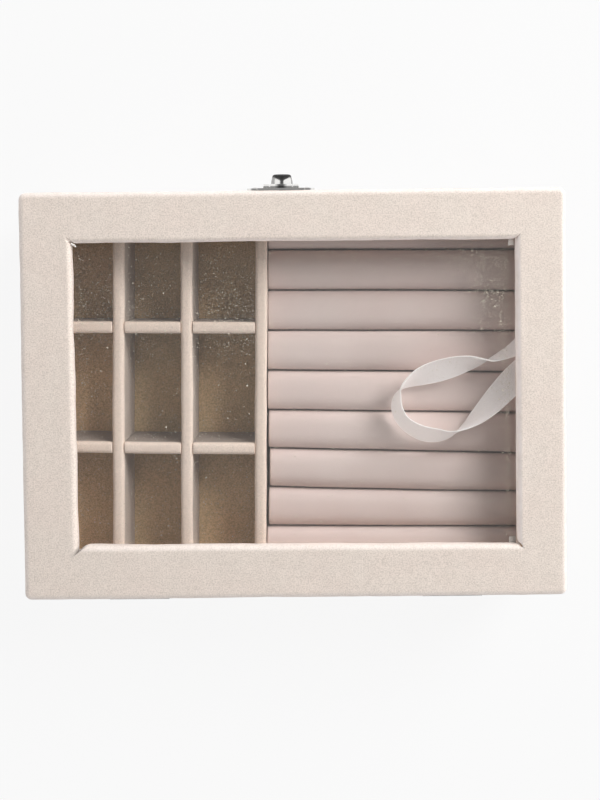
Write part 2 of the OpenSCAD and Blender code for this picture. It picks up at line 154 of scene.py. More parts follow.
def swell(points, size, seed):
    """Smooth unevenness from about -1 to 1: a quarter of the sum of seven sine waves of about that size
    in metres, in directions drawn from the seed."""
    draw = np.random.RandomState(seed)
    total = np.zeros(points.shape[:-1])
    for _ in range(7):
        way = draw.normal(size=3)
        way *= 2 * np.pi / (np.linalg.norm(way) * size * draw.uniform(0.7, 1.5))
        total += np.sin(points @ way + draw.uniform(0, 2 * np.pi))
    return total / 4


def smooth_step(value, low, high):
    """0 up to low, 1 from high on, and t * t * (3 - 2 * t) of the share t between them."""
    share = np.clip((value - low) / (high - low), 0, 1)
    return share * share * (3 - 2 * share)


def curve_through(points, count):
    """A smooth curve through the given rows, read at count even places: on each stretch, the cubic whose
    slope at a row is half the step between its neighbours."""
    padded = np.vstack([2 * points[0] - points[1], points, 2 * points[-1] - points[-2]])
    place = np.linspace(0, len(points) - 1, count)
    k = np.minimum(place.astype(int), len(points) - 2)
    t = (place - k)[:, None]
    before, here, after, beyond = padded[k], padded[k + 1], padded[k + 2], padded[k + 3]
    return 0.5 * (2 * here + (after - before) * t + (2 * before - 5 * here + 4 * after - beyond) * t ** 2
                  + (3 * here - before - 3 * after + beyond) * t ** 3)


def loop_stations(per_side, arc_steps=6):
    """Stations round a rectangle. Each is a point of the rectangle as shares of its half sizes, and the
    way outwards there, which turns through a quarter circle at a corner. Along a side they follow a
    straight line and a sine in the shares 0.4 and 0.6, so that they lie closer near corners."""
    t = np.linspace(-1, 1, per_side)
    shares = (0.4 * t + 0.6 * np.sin(np.pi / 2 * t))[:, None]
    angles = np.linspace(0, np.pi / 2, arc_steps + 1)[1:-1, None]
    places, ways = [], []
    for side in range(4):
        out, onward = WAYS[side], WAYS[(side + 1) % 4]
        places += [out + shares * onward, np.tile(out + onward, (len(angles), 1))]
        ways += [np.tile(out, (per_side, 1)), out * np.cos(angles) + onward * np.sin(angles)]
    return np.vstack(places), np.vstack(ways)


def side_of(stations):
    """Which side each station belongs to: the one whose way out is nearest."""
    return np.argmax(stations[1] @ WAYS.T, axis=1)


def loop_points(stations, half, radius, inset, height, shift=0.0):
    """Points of a section carried round a rectangle with round corners. An inset smaller than the
    corner's radius keeps a round corner, and a deeper one is mitred. A shift moves a point further in
    along X and along Y."""
    places, ways = stations
    deep, soft = np.maximum(inset, radius)[..., None], np.maximum(radius - inset, 0)[..., None]
    flat = places[:, None] * (half - deep - shift) + ways[:, None] * soft
    return np.concatenate([flat, np.broadcast_to(height, flat.shape[:2])[..., None]], -1)


def section_ways(outline):
    """The way out of a closed section that runs up its outer side: the way along it, turned a quarter
    turn to the left."""
    step = np.roll(outline, -1, axis=0) - np.roll(outline, 1, axis=0)
    return np.stack([-step[:, 1], step[:, 0]], -1) / np.linalg.norm(step, axis=1)[:, None]


def loop_surface(stations, half, radius, outline, lift, shift=0.0):
    """A closed section carried round a rectangle, then moved along the section's own way out by the
    height that the lift gives for each point."""
    inset, height = (np.tile(values, (len(stations[0]), 1)) for values in outline.T)
    out = lift(loop_points(stations, half, radius, inset, height, shift))
    way = section_ways(outline)
    return loop_points(stations, half, radius, inset + out * way[:, 0], height + out * way[:, 1], shift)


def bar_points(outline, low, high, step, end_r, along=0):
    """A straight bar with soft ends: the outline is carried from low to high, and shrinks about its
    middle along a quarter circle of radius end_r at each end, then to a point."""
    middle, half = (outline.max(0) + outline.min(0)) / 2, (outline.max(0) - outline.min(0)) / 2
    turn = np.linspace(0, np.pi / 2, 5)
    cut = np.concatenate([[half.min() * 0.999, half.min() * 0.6], end_r * (1 - np.sin(turn))])
    ahead = np.concatenate([[0, 0], end_r * (1 - np.cos(turn))])
    rows = max(2, int((high - low) / step))
    places = np.concatenate([low + ahead, np.linspace(low + end_r, high - end_r, rows)[1:-1], high - ahead[::-1]])
    cuts = np.concatenate([cut, np.zeros(rows - 2), cut[::-1]])
    shares = 1 - cuts[:, None, None] / half
    shares[[0, -1]] = 0
    section = middle + (outline - middle) * shares
    flat = np.broadcast_to(places[:, None, None], section.shape[:2] + (1,))
    return np.concatenate([flat, section] if along == 0 else [section[..., :1], flat, section[..., 1:]], -1)


def crowned_outline(half_w, low, high, crown, power, step):
    """A section with a flat foot, upright sides and a crown. The crown is a superellipse: the powers of
    its two shares add up to 1. The foot's corners are cut off."""
    cut = 0.4 * MM
    turn = np.linspace(0, np.pi, 25)
    top = np.stack([half_w * np.sign(np.cos(turn)) * np.abs(np.cos(turn)) ** (2 / power),
                    high - crown + crown * np.sin(turn) ** (2 / power)], -1)
    side = np.arange(low + cut, high - crown - step / 2, step)
    left = np.stack([np.full(len(side), -half_w), side[::-1]], -1)
    right = np.stack([np.full(len(side), half_w), side], -1)
    foot = np.stack([np.linspace(-half_w + cut, half_w - cut, 7), np.full(7, low)], -1)
    return np.vstack([top, left, foot, right])


def tube_points(line, side, up, radius, corners):
    """A tube round a line: at each of its points, corners on a circle between the ways side and up."""
    turn = np.arange(corners) * 2 * np.pi / corners
    ring = side[:, None] * np.cos(turn)[:, None] + up[:, None] * np.sin(turn)[:, None]
    return line[:, None] + radius[:, None] * ring


def make_piece(name, points, faces, material, body, slot, stands_for=(), masks=None, sheet=None, merge=True):
    """A mesh piece from a grid of points. Collapsed points are merged, faces are turned outwards, and
    the piece rides on its body and stands for its nodes. Each mask is an attribute that the material
    reads: one paints shade where it falls in folds, seams and recesses, and one paints a highlight along edges."""
    mesh = bpy.data.meshes.new(name)
    points = np.asarray(points, float).reshape(-1, 3)
    mesh.from_pydata(points.tolist(), [], np.asarray(faces).tolist())
    for label, values in (masks or {}).items():
        values = np.ravel(values).astype(np.float32)
        mesh.attributes.new(label, "FLOAT", "POINT").data.foreach_set("value", values)
    if sheet is not None:
        corner = np.zeros(len(mesh.loops), np.int32)
        mesh.loops.foreach_get("vertex_index", corner)
        cloth = sheet.reshape(-1, 2)[corner].astype(np.float32)
        mesh.uv_layers.new(name="cloth").data.foreach_set("uv", cloth.ravel())
    if merge:
        shell = bmesh.new()
        shell.from_mesh(mesh)
        bmesh.ops.remove_doubles(shell, verts=shell.verts, dist=MERGE)
        bmesh.ops.dissolve_degenerate(shell, dist=SLIVER, edges=shell.edges)
        bmesh.ops.recalc_face_normals(shell, faces=shell.faces)
        shell.to_mesh(mesh)
        shell.free()
    mesh.validate()
    mesh.set_sharp_from_angle(angle=SHARP)
    piece = bpy.data.objects.new(name, mesh)
    bpy.context.scene.collection.objects.link(piece)
    mesh.materials.append(material)
    if body:
        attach(piece, body)
    if stands_for:
        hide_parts(*stands_for)
    return piece


# ---- materials ----


def fill_inputs(tree, node, inputs):
    """Fills a node's inputs with values, or links them to sockets."""
    for key, value in inputs.items():
        if isinstance(value, bpy.types.NodeSocket):
            tree.links.new(value, node.inputs[key])
        else:
            node.inputs[key].default_value = value


def add_node(tree, kind, inputs=None, **settings):
    """A new node with its settings and its inputs."""
    made = tree.nodes.new(kind)
    for key, value in settings.items():
        setattr(made, key, value)
    fill_inputs(tree, made, inputs or {})
    return made


def object_place(tree):
    """The place on the piece, in metres."""
    return add_node(tree, "ShaderNodeTexCoord").outputs["Object"]


def mask(tree, name):
    """One of the piece's attributes."""
    return add_node(tree, "ShaderNodeAttribute", attribute_name=name).outputs["Fac"]


def mix_colours(tree, share, first, second):
    """The colour between two colours at a varying share."""
    return add_node(tree, "ShaderNodeMix", {0: share, 6: first, 7: second}, data_type="RGBA").outputs[2]


def mix_shaders(tree, share, first, second):
    """The light between two shaders' at a varying share."""
    return add_node(tree, "ShaderNodeMixShader", {0: share, 1: first, 2: second}).outputs[0]


def remap(tree, value, low, high, to_low=0.0, to_high=1.0):
    """A value moved from one range to another and kept inside it."""
    return add_node(tree, "ShaderNodeMapRange", {0: value, 1: low, 2: high, 3: to_low, 4: to_high}).outputs[0]


def sum_of(tree, first, second, operation="ADD"):
    """The sum of two values, or what another operation makes of them."""
    return add_node(tree, "ShaderNodeMath", {0: first, 1: second}, operation=operation).outputs[0]


def noise(tree, where, scale, detail=2.0, roughness=0.5):
    """Noise at a scale in lumps a metre."""
    inputs = {"Vector": where, "Scale": scale, "Detail": detail, "Roughness": roughness}
    return add_node(tree, "ShaderNodeTexNoise", inputs).outputs[0]


def bump(tree, height, strength, deep):
    """Raised and sunken places, deep in millimetres, as a normal."""
    return add_node(tree, "ShaderNodeBump", {"Height": height, "Strength": strength, "Distance": deep * MM}).outputs[0]


def opaque(colour, share=1.0):
    """A colour made lighter or darker, with its alpha."""
    return (*np.array(colour) * share, 1)


def material_named(name):
    """Turns a function that gives the inputs of a Principled shader into one that gives the material of
    that name, which is built at its first use."""
    def wrap(inputs_of):
        @functools.wraps(inputs_of)
        def find(*given):
            if name not in bpy.data.materials:
                material = bpy.data.materials.new(name)
                material.use_nodes = True
                tree = material.node_tree
                fill_inputs(tree, tree.nodes["Principled BSDF"], inputs_of(tree, *given))
            return bpy.data.materials[name]
        return find
    return wrap


def pile_group():
    """The node group for cut pile: fine tufts and soft patches where the nap lies another way, a painted
    highlight along edges and painted shade in folds, seams and recesses."""
    if "pile" in bpy.data.node_groups:
        return bpy.data.node_groups["pile"]
    group = bpy.data.node_groups.new("pile", "ShaderNodeTree")
    for in_out, label, kind, value in (
            ("INPUT", "Colour", "Color", (0.8, 0.8, 0.8, 1)), ("INPUT", "Depth Colour", "Color", (0.5, 0.5, 0.5, 1)),
            ("INPUT", "Brushed Colour", "Color", (0.8, 0.8, 0.8, 1)), ("INPUT", "Tuft Scale", "Float", 1500.0),
            ("INPUT", "Tuft Contrast", "Float", 0.5), ("INPUT", "Patch Scale", "Float", 60.0),
            ("INPUT", "Patch Contrast", "Float", 0.5), ("INPUT", "Rim Highlight Colour", "Color", (0.97, 0.89, 0.86, 1)),
            ("OUTPUT", "Colour", "Color", None), ("OUTPUT", "Height", "Float", None)):
        socket = group.interface.new_socket(name=label, in_out=in_out, socket_type="NodeSocket" + kind)
        if value is not None:
            socket.default_value = value
    given, out = group.nodes.new("NodeGroupInput").outputs, group.nodes.new("NodeGroupOutput")
    where = object_place(group)
    tufts = noise(group, where, given["Tuft Scale"], 2.0, 0.6)
    clumps = noise(group, where, sum_of(group, given["Tuft Scale"], 0.3, "MULTIPLY"), 1.0)
    grain = sum_of(group, sum_of(group, tufts, 0.85, "MULTIPLY"), sum_of(group, clumps, 0.15, "MULTIPLY"))
    depth = sum_of(group, remap(group, grain, 0.6, 0.34), given["Tuft Contrast"], "MULTIPLY")
    patches = remap(group, noise(group, where, given["Patch Scale"]), 0.38, 0.62)
    brushed = mix_colours(group, sum_of(group, patches, given["Patch Contrast"], "MULTIPLY"), given["Colour"],
                          given["Brushed Colour"])
    specked = mix_colours(group, depth, brushed, given["Depth Colour"])
    # Painted highlight: the colour lightens towards the rim colour where the edge mask says so
    wear_and_rim_highlight = mix_colours(group, mask(group, "rim_highlight"), specked, given["Rim Highlight Colour"])
    # Painted shade: where the shade mask says so, the colour darkens towards this near black
    bottom = mix_colours(group, 0.75, given["Depth Colour"], (0.02, 0.015, 0.01, 1))
    fill_inputs(group, out, {"Colour": mix_colours(group, mask(group, "painted_shade"), wear_and_rim_highlight, bottom),
                             "Height": sum_of(group, grain, sum_of(group, patches, 0.08, "MULTIPLY"))})
    return group


def pile_inputs(tree, colour, depth, brushed, sheen, tuft=1900.0, contrast=0.6, patch=60.0, patch_contrast=0.5,
                raised=0.25):
    """Velvet in one colour. The depth between its tufts and the brushed patches are shares of it."""
    pile = add_node(tree, "ShaderNodeGroup", {
        "Colour": opaque(colour), "Depth Colour": opaque(colour, depth), "Brushed Colour": opaque(colour, brushed),
        "Tuft Scale": tuft, "Tuft Contrast": contrast, "Patch Scale": patch, "Patch Contrast": patch_contrast},
        node_tree=pile_group()).outputs
    return {"Base Color": pile["Colour"], "Normal": bump(tree, pile["Height"], raised, 0.4), "Roughness": 0.95,
            "Specular IOR Level": 0.15, "Sheen Weight": sheen, "Sheen Roughness": 0.35,
            "Sheen Tint": (1.0, 0.95, 0.93, 1)}


@material_named("cover velvet")
def cover_material(tree, box):
    """The thick velvet outside."""
    return pile_inputs(tree, box.covers.colour, (0.62, 0.60, 0.58), (1.0, 0.97, 0.97), box.covers.sheen,
                       contrast=0.62)


@material_named("lining velvet")
def lining_material(tree, box):
    """The thin velvet of dividers and walls."""
    return pile_inputs(tree, box.linings.colour, 0.6, (0.97, 0.95, 0.94), 0.25, contrast=0.35, raised=0.15)


@material_named("floor velvet")
def floor_material(tree, box):
    """The velvet of the compartments' floor. Its colour is darker and browner than the lining's, partly the floor's
    own colour and partly painted shade deep in the compartments.
    """
    return pile_inputs(tree, box.linings.floor_colour, 0.5, (1.14, 1.06, 1.02), 0.1, tuft=1500.0, patch=38.0,
                       patch_contrast=0.6, raised=0.3)


@material_named("roll velveteen")
def roll_material(tree, box):
    """The short pile of the rolls."""
    return pile_inputs(tree, box.rolls.colour, 0.78, (0.97, 0.93, 0.93), 0.3, tuft=2300.0, contrast=0.25,
                       patch=30.0, patch_contrast=0.6, raised=0.1)


@material_named("nickel plate")
def metal_material(tree, box):
    """Polished nickel: fine scratches and a little tarnish. Where a piece's mask paints shade, the plate goes near
    black, as painted shade and dark painted reflection.
    """
    s = box.metal
    where = object_place(tree)
    tarnish = remap(tree, noise(tree, where, 300.0), 0.5, 0.8, 0.0, 0.5)
    drawn_out = add_node(tree, "ShaderNodeMapping", {"Vector": where, "Scale": (300, 6000, 900)}).outputs[0]
    scratches = remap(tree, noise(tree, drawn_out, 1.0), 0.4, 0.7, 0.0, 0.6)
    plate = mix_colours(tree, tarnish, opaque(s.colour), opaque(s.colour, 0.7))
    wear_and_rim_highlight = sum_of(tree, tarnish, scratches, "MAXIMUM")
    # Painted shade and dark painted reflection: near black where the mask says so
    return {"Base Color": mix_colours(tree, mask(tree, "painted_shade"), plate, (0.02, 0.02, 0.02, 1)), "Metallic": 1.0,
            "Roughness": remap(tree, wear_and_rim_highlight, 0.0, 1.0, s.roughness, s.roughness + 0.22)}


@material_named("fibreboard")
def board_material(tree, box):
    """Brown fibreboard: matted short fibres and darker flecks."""
    colour = box.boards.colour
    where = object_place(tree)
    fibres = noise(tree, where, 1800.0, 5.0, 0.7)
    flecks = remap(tree, noise(tree, where, 700.0), 0.58, 0.7)
    base = mix_colours(tree, fibres, opaque(colour, 0.75), opaque(colour, 1.2))
    return {"Base Color": mix_colours(tree, flecks, base, opaque(colour, 0.45)), "Roughness": 0.85,
            "Normal": bump(tree, fibres, 0.2, 0.1)}


@material_named("pressed felt")
def felt_material(tree, box):
    """Pressed felt: tangled fibres at two sizes."""
    colour = box.boards.felt_colour
    where = object_place(tree)
    fibres = sum_of(tree, noise(tree, where, 900.0, 6.0, 0.75), noise(tree, where, 120.0))
    mottle = mix_colours(tree, remap(tree, fibres, 0.8, 1.2), opaque(colour, 0.6), opaque(colour, 1.3))
    return {"Base Color": mottle, "Normal": bump(tree, fibres, 0.5, 0.3), "Roughness": 0.95, "Sheen Weight": 0.2}


@material_named("ribbon satin")
def ribbon_material(tree, box):
    """White satin: fine ribs across the cloth, lighter woven edges, partly a painted highlight, and a painted glow."""
    s = box.ribbon
    cloth = add_node(tree, "ShaderNodeUVMap", uv_map="cloth").outputs[0]
    across = add_node(tree, "ShaderNodeSeparateXYZ", {0: cloth}).outputs[1]
    from_middle = sum_of(tree, sum_of(tree, across, 0.5, "SUBTRACT"), 0.0, "ABSOLUTE")
    rib = add_node(tree, "ShaderNodeTexWave", {"Vector": cloth, "Scale": 90.0, "Distortion": 1.5,
                                               "Detail": 1.0}).outputs[1]
    mottle = remap(tree, noise(tree, cloth, 14.0, 3.0), 0.35, 0.65)
    satin = mix_colours(tree, mottle, opaque(s.colour), opaque(s.colour, 0.93))
    # Lighter woven edges: partly their own white, partly a painted highlight
    return {"Base Color": mix_colours(tree, remap(tree, from_middle, 0.448, 0.456), satin, opaque(s.edge_colour)),
            "Normal": bump(tree, rib, 0.12, 0.1), "Roughness": remap(tree, mottle, 0.0, 1.0, 0.34, 0.5),
            "Metallic": 0.1, "Subsurface Weight": 0.6, "Subsurface Radius": (1.0, 0.95, 0.92),
            # Painted glow: emission standing in for light that comes through the satin
            "Subsurface Scale": 2.0 * MM, "Emission Color": (1.0, 0.95, 0.94, 1), "Emission Strength": s.glow,
            "Sheen Weight": 0.6, "Sheen Roughness": 0.3, "Alpha": s.cover}


@material_named("clear glass")
def glass_material(tree, box):
    """Clear glass with a thin film of dust, which scatters a share of the light. Light from the lamps, and
    light that velvet scatters, goes through it in straight lines, as a Transparent shader lets it."""
    s = box.glass
    film = noise(tree, object_place(tree), 35.0, 4.0, 0.6)
    shader = tree.nodes["Principled BSDF"].outputs[0]
    clear = add_node(tree, "ShaderNodeBsdfTransparent", {0: (0.98, 0.98, 0.975, 1)}).outputs[0]
    path = add_node(tree, "ShaderNodeLightPath").outputs
    seen = mix_shaders(tree, path["Is Diffuse Ray"], shader, clear)
    fill_inputs(tree, tree.nodes["Material Output"],
                {"Surface": mix_shaders(tree, path["Is Shadow Ray"], seen, clear)})
    return {"Base Color": mix_colours(tree, remap(tree, film, 0.3, 0.7), opaque(s.tint, 0.96), opaque(s.tint)),
            "Roughness": remap(tree, film, 0.5, 0.75, 0.0, 0.02), "Transmission Weight": 1.0 - s.film, "IOR": 1.5}


def mottled(tree, colour, second, scale, roughness):
    """Two close colours in a fine mottle."""
    mottle = noise(tree, object_place(tree), scale, 3.0)
    return {"Base Color": mix_colours(tree, mottle, opaque(colour), opaque(second)), "Roughness": roughness}


@material_named("dust")
def dust_material(tree):
    """Dust and lint."""
    return mottled(tree, (0.74, 0.69, 0.58), (0.56, 0.51, 0.41), 900.0, 0.9)


@material_named("white card")
def card_material(tree):
    """White card and thread."""
    return mottled(tree, (0.94, 0.92, 0.89), (0.84, 0.82, 0.78), 700.0, 0.8)


@material_named("tape")
def tape_material(tree):
    """Yellowed clear tape over velvet."""
    return mottled(tree, (0.52, 0.49, 0.46), (0.44, 0.41, 0.38), 900.0, 0.4)


# ---- sizes and colours ----


def length_property(name, description, default, low, high):
    return FloatProperty(name=name, description=description, default=default, min=low, max=high, unit="LENGTH",
                         precision=5)


def colour_property(name, description, default):
    return FloatVectorProperty(name=name, description=description, default=default, min=0, max=1, subtype="COLOR")


def share_property(name, description, default):
    return FloatProperty(name=name, description=description, default=default, min=0, max=1, subtype="FACTOR")


class CoverSettings(PropertyGroup):
    """The velvet outside"""

    colour: colour_property("Colour", "Colour of the outer velvet", (0.880, 0.782, 0.705))
    sheen: share_property("Sheen", "How bright the pile is at a glancing view", 0.45)
    frame_width: length_property("Frame width", "Width of the frame round the glass", 0.020, 0.015, 0.030)
    # The rim is a painted highlight along the lid's outer edge
    rim: share_property("Rim", "How light the pile is along the outer edge", 0.45)
    wave: length_property("Edge wave", "How far the window's velvet edge wanders", 0.00022, 0.0, 0.001)
    lumps: length_property("Lumps", "Unevenness of the padding under the velvet", 0.00007, 0.0, 0.0005)


class LiningSettings(PropertyGroup):
    """The velvet inside"""

    colour: colour_property("Colour", "Colour of the dividers and the wall lining", (0.93, 0.78, 0.68))
    # The floor colour is darker and browner than the lining: partly its own colour, partly painted shade deep in the
    # compartments
    floor_colour: colour_property("Floor colour", "Colour of the compartments' floor", (0.78, 0.58, 0.335))
    bend: length_property("Bend", "How far a divider wanders from a straight line", 0.00022, 0.0, 0.001)


class RollSettings(PropertyGroup):
    """The padded ring rolls"""

    colour: colour_property("Colour", "Colour of the rolls", (0.80, 0.675, 0.64))
    pressure: FloatProperty(name="Pressure", description="How hard the padding pushes", default=4.0, min=0, max=20)
    frames: IntProperty(name="Frames", description="Length of the cloth simulation", default=20, min=1, max=60)
    swelling: length_property("Swelling", "How far the padding may push the cloth out", 0.00045, 0.0, 0.001)
    fill: share_property("Fill", "How tight the padding is", 0.7)


class RibbonSettings(PropertyGroup):
    """The ribbon that stays the lid"""

    colour: colour_property("Colour", "Colour of the satin", (0.96, 0.915, 0.905))
    # The edges are lighter than the satin: partly their own white, partly a painted highlight
    edge_colour: colour_property("Edge colour", "Colour of the woven edges", (1.0, 0.97, 0.955))
    width: length_property("Width", "Width of the ribbon", 0.010, 0.005, 0.015)
    thickness: length_property("Thickness", "Thickness of the ribbon", 0.00022, 0.0001, 0.0006)
    bead: length_property("Edge bead", "Thickness of the woven edges", 0.00050, 0.0001, 0.001)
    camber: length_property("Camber", "How far the ribbon bows across its width", 0.0004, 0.0, 0.001)
    # The glow is painted light: a weak emission that stands in for light coming through the satin
    glow: share_property("Glow", "Brightener in the satin, and the light that comes through it", 0.13)
    cover: share_property("Cover", "How much the satin hides", 1.0)


class GlassSettings(PropertyGroup):
    """The pane and the dust on it"""

    tint: colour_property("Tint", "Colour of the glass", (0.985, 0.979, 0.968))
    specks: IntProperty(name="Specks", description="Number of dust specks", default=14000, min=0, max=30000)
    film: share_property("Film", "How much light the film of dust scatters", 0.016)
    speck: length_property("Speck size", "Usual radius of a dust speck", 0.00009, 0.00002, 0.0004)


class MetalSettings(PropertyGroup):
    """The hinges, the latch and their nails"""

    colour: colour_property("Colour", "Colour of the plating", (0.90, 0.89, 0.87))
    roughness: share_property("Roughness", "Roughness of the clean plating", 0.1)


class BoardSettings(PropertyGroup):
    """The boards and the felt"""

    colour: colour_property("Board colour", "Colour of the fibreboard", (0.30, 0.19, 0.11))
    felt_colour: colour_property("Felt colour", "Colour of the felt", (0.16, 0.145, 0.13))


class StageSettings(PropertyGroup):
    """Floor, light and camera"""

    floor: colour_property("Floor", "Colour of the floor", (0.60, 0.60, 0.60))
    key: FloatProperty(name="Key light", description="Strength of the soft key light", default=2.12, min=0, max=20)
    sky: FloatProperty(name="Sky", description="Brightness of the light from all round", default=0.26, min=0, max=2)
    ceiling: share_property("Ceiling", "Brightness of the ceiling that metal and glass mirror", 0.3)


class RingBoxSettings(PropertyGroup):
    """All the settings of the box"""

    covers: PointerProperty(type=CoverSettings)
    linings: PointerProperty(type=LiningSettings)
    rolls: PointerProperty(type=RollSettings)
    ribbon: PointerProperty(type=RibbonSettings)
    glass: PointerProperty(type=GlassSettings)
    metal: PointerProperty(type=MetalSettings)
    boards: PointerProperty(type=BoardSettings)
    stage: PointerProperty(type=StageSettings)


# ---- covers ----

# Half the width and the depth of the window in millimetres, and how far in its edge lies at the start
# and the end of each side
WINDOW_HALF = (80, 55)
WINDOW_EDGE = np.array([[18.6, 18.6], [19.0, 19.8], [20.0, 18.9], [17.9, 18.1]])
# Where the velvet is pulled back from a window corner: side, its start or end, how far along the side
# the pull reaches, and how far it goes, in millimetres
PULLS = ((REAR, -1, 4.6, 2.5), (FRONT, 1, 1.6, 0.8), (RIGHT, -1, 1.0, 0.5), (FRONT, -1, 1.2, 0.6),
         (LEFT, -1, 1.8, 0.9))
# How wide the painted highlight along the window's edge is on each side in millimetres, and how light it is
RIMS = np.array([[0.6, 0.7], [0.5, 0.05], [1.4, 0.3], [1.2, 0.9]])
# The lid's section: the height of the frame's underside, the height down to which the strips under the
# glass hide the skirt, and the skirt's thickness above and below that height
FRAME_UNDERSIDE, STRIP_FOOT = 45.5 * MM, 41.5 * MM
SKIRT, SKIRT_BELOW = 5.5 * MM, 6 * MM
# The body's velvet: where its two ends meet in a groove at the rear, and how wide and deep that is
SEAM_X, SEAM_WIDTH, SEAM_DEPTH = -0.088, 0.25 * MM, 0.25 * MM


def window_shift(stations, window):
    """How much further in the window's edge lies than the frame's width, along X and along Y. Between
    the ends of a side it changes evenly, and a pull falls off with the square of the distance left.
    The second result is how far each station is pulled, which sets the painted shade there."""
    places = stations[0]
    extra = WINDOW_EDGE * MM - window
    x, y = (places[:, 0] + 1) / 2, (places[:, 1] + 1) / 2
    front = extra[FRONT, 0] * (1 - x) + extra[FRONT, 1] * x
    rear = extra[REAR, 1] * (1 - x) + extra[REAR, 0] * x
    right = extra[RIGHT, 0] * (1 - y) + extra[RIGHT, 1] * y
    left = extra[LEFT, 1] * (1 - y) + extra[LEFT, 0] * y
    shift = np.stack([left * (1 - x) + right * x, front * (1 - y) + rear * y], -1)
    pulled = np.zeros(len(places))
    deepest = max(depth for *_, depth in PULLS)
    for side, end, length, depth in PULLS:
        along, inwards = (0, 1) if side in (FRONT, REAR) else (1, 0)
        distance = (1 - (places @ WAYS[(side + 1) % 4]) * end) * WINDOW_HALF[along]
        pull = np.where(side_of(stations) == side, np.clip(1 - distance / length, 0, 1) ** 2, 0)
        shift[:, inwards] -= depth * MM * pull
        pulled = np.maximum(pulled, pull * min(1, (depth / deepest) ** 2))
    return shift, pulled


def lumps_of(points, height, seed):
    """Uneven padding: a fine swell and one and a half times a coarse one."""
    return height * (swell(points, 0.012, seed) + 1.5 * swell(points, 0.05, seed + 1))


def lid_cover_points(box):
    """The lid's velvet as a tube round its boards: the section runs up the outer face, over the frame,
    down the window's edge, under the frame and down the inner face. Gives the points, the painted
    shade where the velvet creases at the pulls, and the painted highlight along its edges."""
    s = box.covers
    low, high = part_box("lid_velvet")
    outline = rounded_outline(
        [[0, low.z], [0, high.z], [s.frame_width, high.z], [s.frame_width, FRAME_UNDERSIDE],
         [SKIRT, FRAME_UNDERSIDE], [SKIRT, STRIP_FOOT], [SKIRT_BELOW, STRIP_FOOT], [SKIRT_BELOW, low.z]],
        np.array([0.4, 2.2, 2.0, 0.6, 0, 0, 0, 0.25]) * MM, 0.6 * MM)
    inset, height = outline.T
    stations = loop_stations(190)
    near = smooth_step(inset, s.frame_width - 7 * MM, s.frame_width) * (height > FRAME_UNDERSIDE - 0.1 * MM)
    edge, pulled = window_shift(stations, s.frame_width)
    # Painted shade where the velvet creases at the pulled window corners
    painted_shade = 0.9 * near ** 6 * smooth_step(pulled, 0.0, 0.5)[:, None]

    def lift(points):
        wander = s.wave * near ** 2 * swell(points * (1, 1, 0), 0.035, 5)
        return lumps_of(points, s.lumps, 11) + wander

    points = loop_surface(stations, np.array([high.x, high.y]), CORNER, outline, lift,
                          near[:, None] * edge[:, None])
    # Painted highlight along the window's edge, listed by side, and along the outer edge
    width, light = RIMS[side_of(stations)].T[..., None]
    start = s.frame_width - width * MM
    inner = light * smooth_step(inset, start - 0.9 * MM, start + 0.5 * MM) * (height > high.z - 5 * MM)
    outer = s.rim * (1 - smooth_step(inset, 0.6 * MM, 2.4 * MM)) * (height > high.z - 3 * MM)
    return points, painted_shade, (inner + outer) * (1 + 0.25 * swell(points, 0.004, 17))


class RINGBOX_OT_lid_cover(Operator):
    """Make the lid's velvet cover"""

    bl_idname = "ringbox.lid_cover"
    bl_label = "Lid cover"

    def execute(self, context):
        box = context.scene.ring_box
        points, painted_shade, rim_highlight = lid_cover_points(box)
        make_piece("lid_cover", points, ring_faces(points), cover_material(box), "lid", "velvet", ["lid_velvet"],
                   {"painted_shade": painted_shade, "rim_highlight": rim_highlight})
        return {"FINISHED"}


class RINGBOX_OT_body_cover(Operator):
    """Make the body's velvet cover"""

    bl_idname = "ringbox.body_cover"
    bl_label = "Body cover"

    def execute(self, context):
        box = context.scene.ring_box
        low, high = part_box("body_velvet")
        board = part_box("bottom_board")[1].z
        outline = rounded_outline(
            [[0, low.z], [0, high.z], [6 * MM, high.z], [6 * MM, board], [0.5 * MM, board], [0.5 * MM, low.z]],
            np.array([0.2, 1.5, 1.5, 0, 0, 0.2]) * MM, 0.8 * MM)

        def seam(points):
            """1 in the middle of the groove, and less to both sides as a bell curve."""
            return np.exp(-((points[..., 0] - SEAM_X) / SEAM_WIDTH) ** 2) * (points[..., 1] > high.y - 1.2 * MM)

        def lift(points):
            return lumps_of(points, box.covers.lumps, 21) - SEAM_DEPTH * seam(points)

        points = loop_surface(loop_stations(170), np.array([high.x, high.y]), CORNER, outline, lift)
        # Painted shade darkens the groove of the seam
        make_piece("body_cover", points, ring_faces(points), cover_material(box), "base", "velvet", ["body_velvet"],
                   {"painted_shade": 0.6 * seam(points)})
        return {"FINISHED"}


# ---- linings and dividers ----

# The velvet panels that go round the box: piece, names of its nodes, insets of its two faces and radii
# of its four edges and step in millimetres, body and seed
PANELS = (("wall_lining", "{}_lining", 6, 7.5, (0, 0.55, 0.7, 0), 1.5, "base", 31),
          ("glass_strips", "glass_strip_{}", 5.5, 17.4, (0, 0.3, 0.6, 0.6), 1.0, "lid", 32))
# How far the long pieces lean towards +X at the front and at the rear, and the cross dividers towards
# +Y beside the separator and at the right wall, in millimetres
LEAN = {"separator": (-1.15, 0.75), "long_divider_inner": (-0.45, 0.85), "long_divider_outer": (-0.6, 1.3),
        "cross_divider_front": (-0.55, -1.65), "cross_divider_rear": (-0.95, -2.4)}
SEPARATOR_X, RIGHT_WALL_X = 15.0, 92.5
# How dark the painted shade on the sides of the long and of the cross dividers is
LONG_SHADE, CROSS_SHADE = 0.45, 0.75


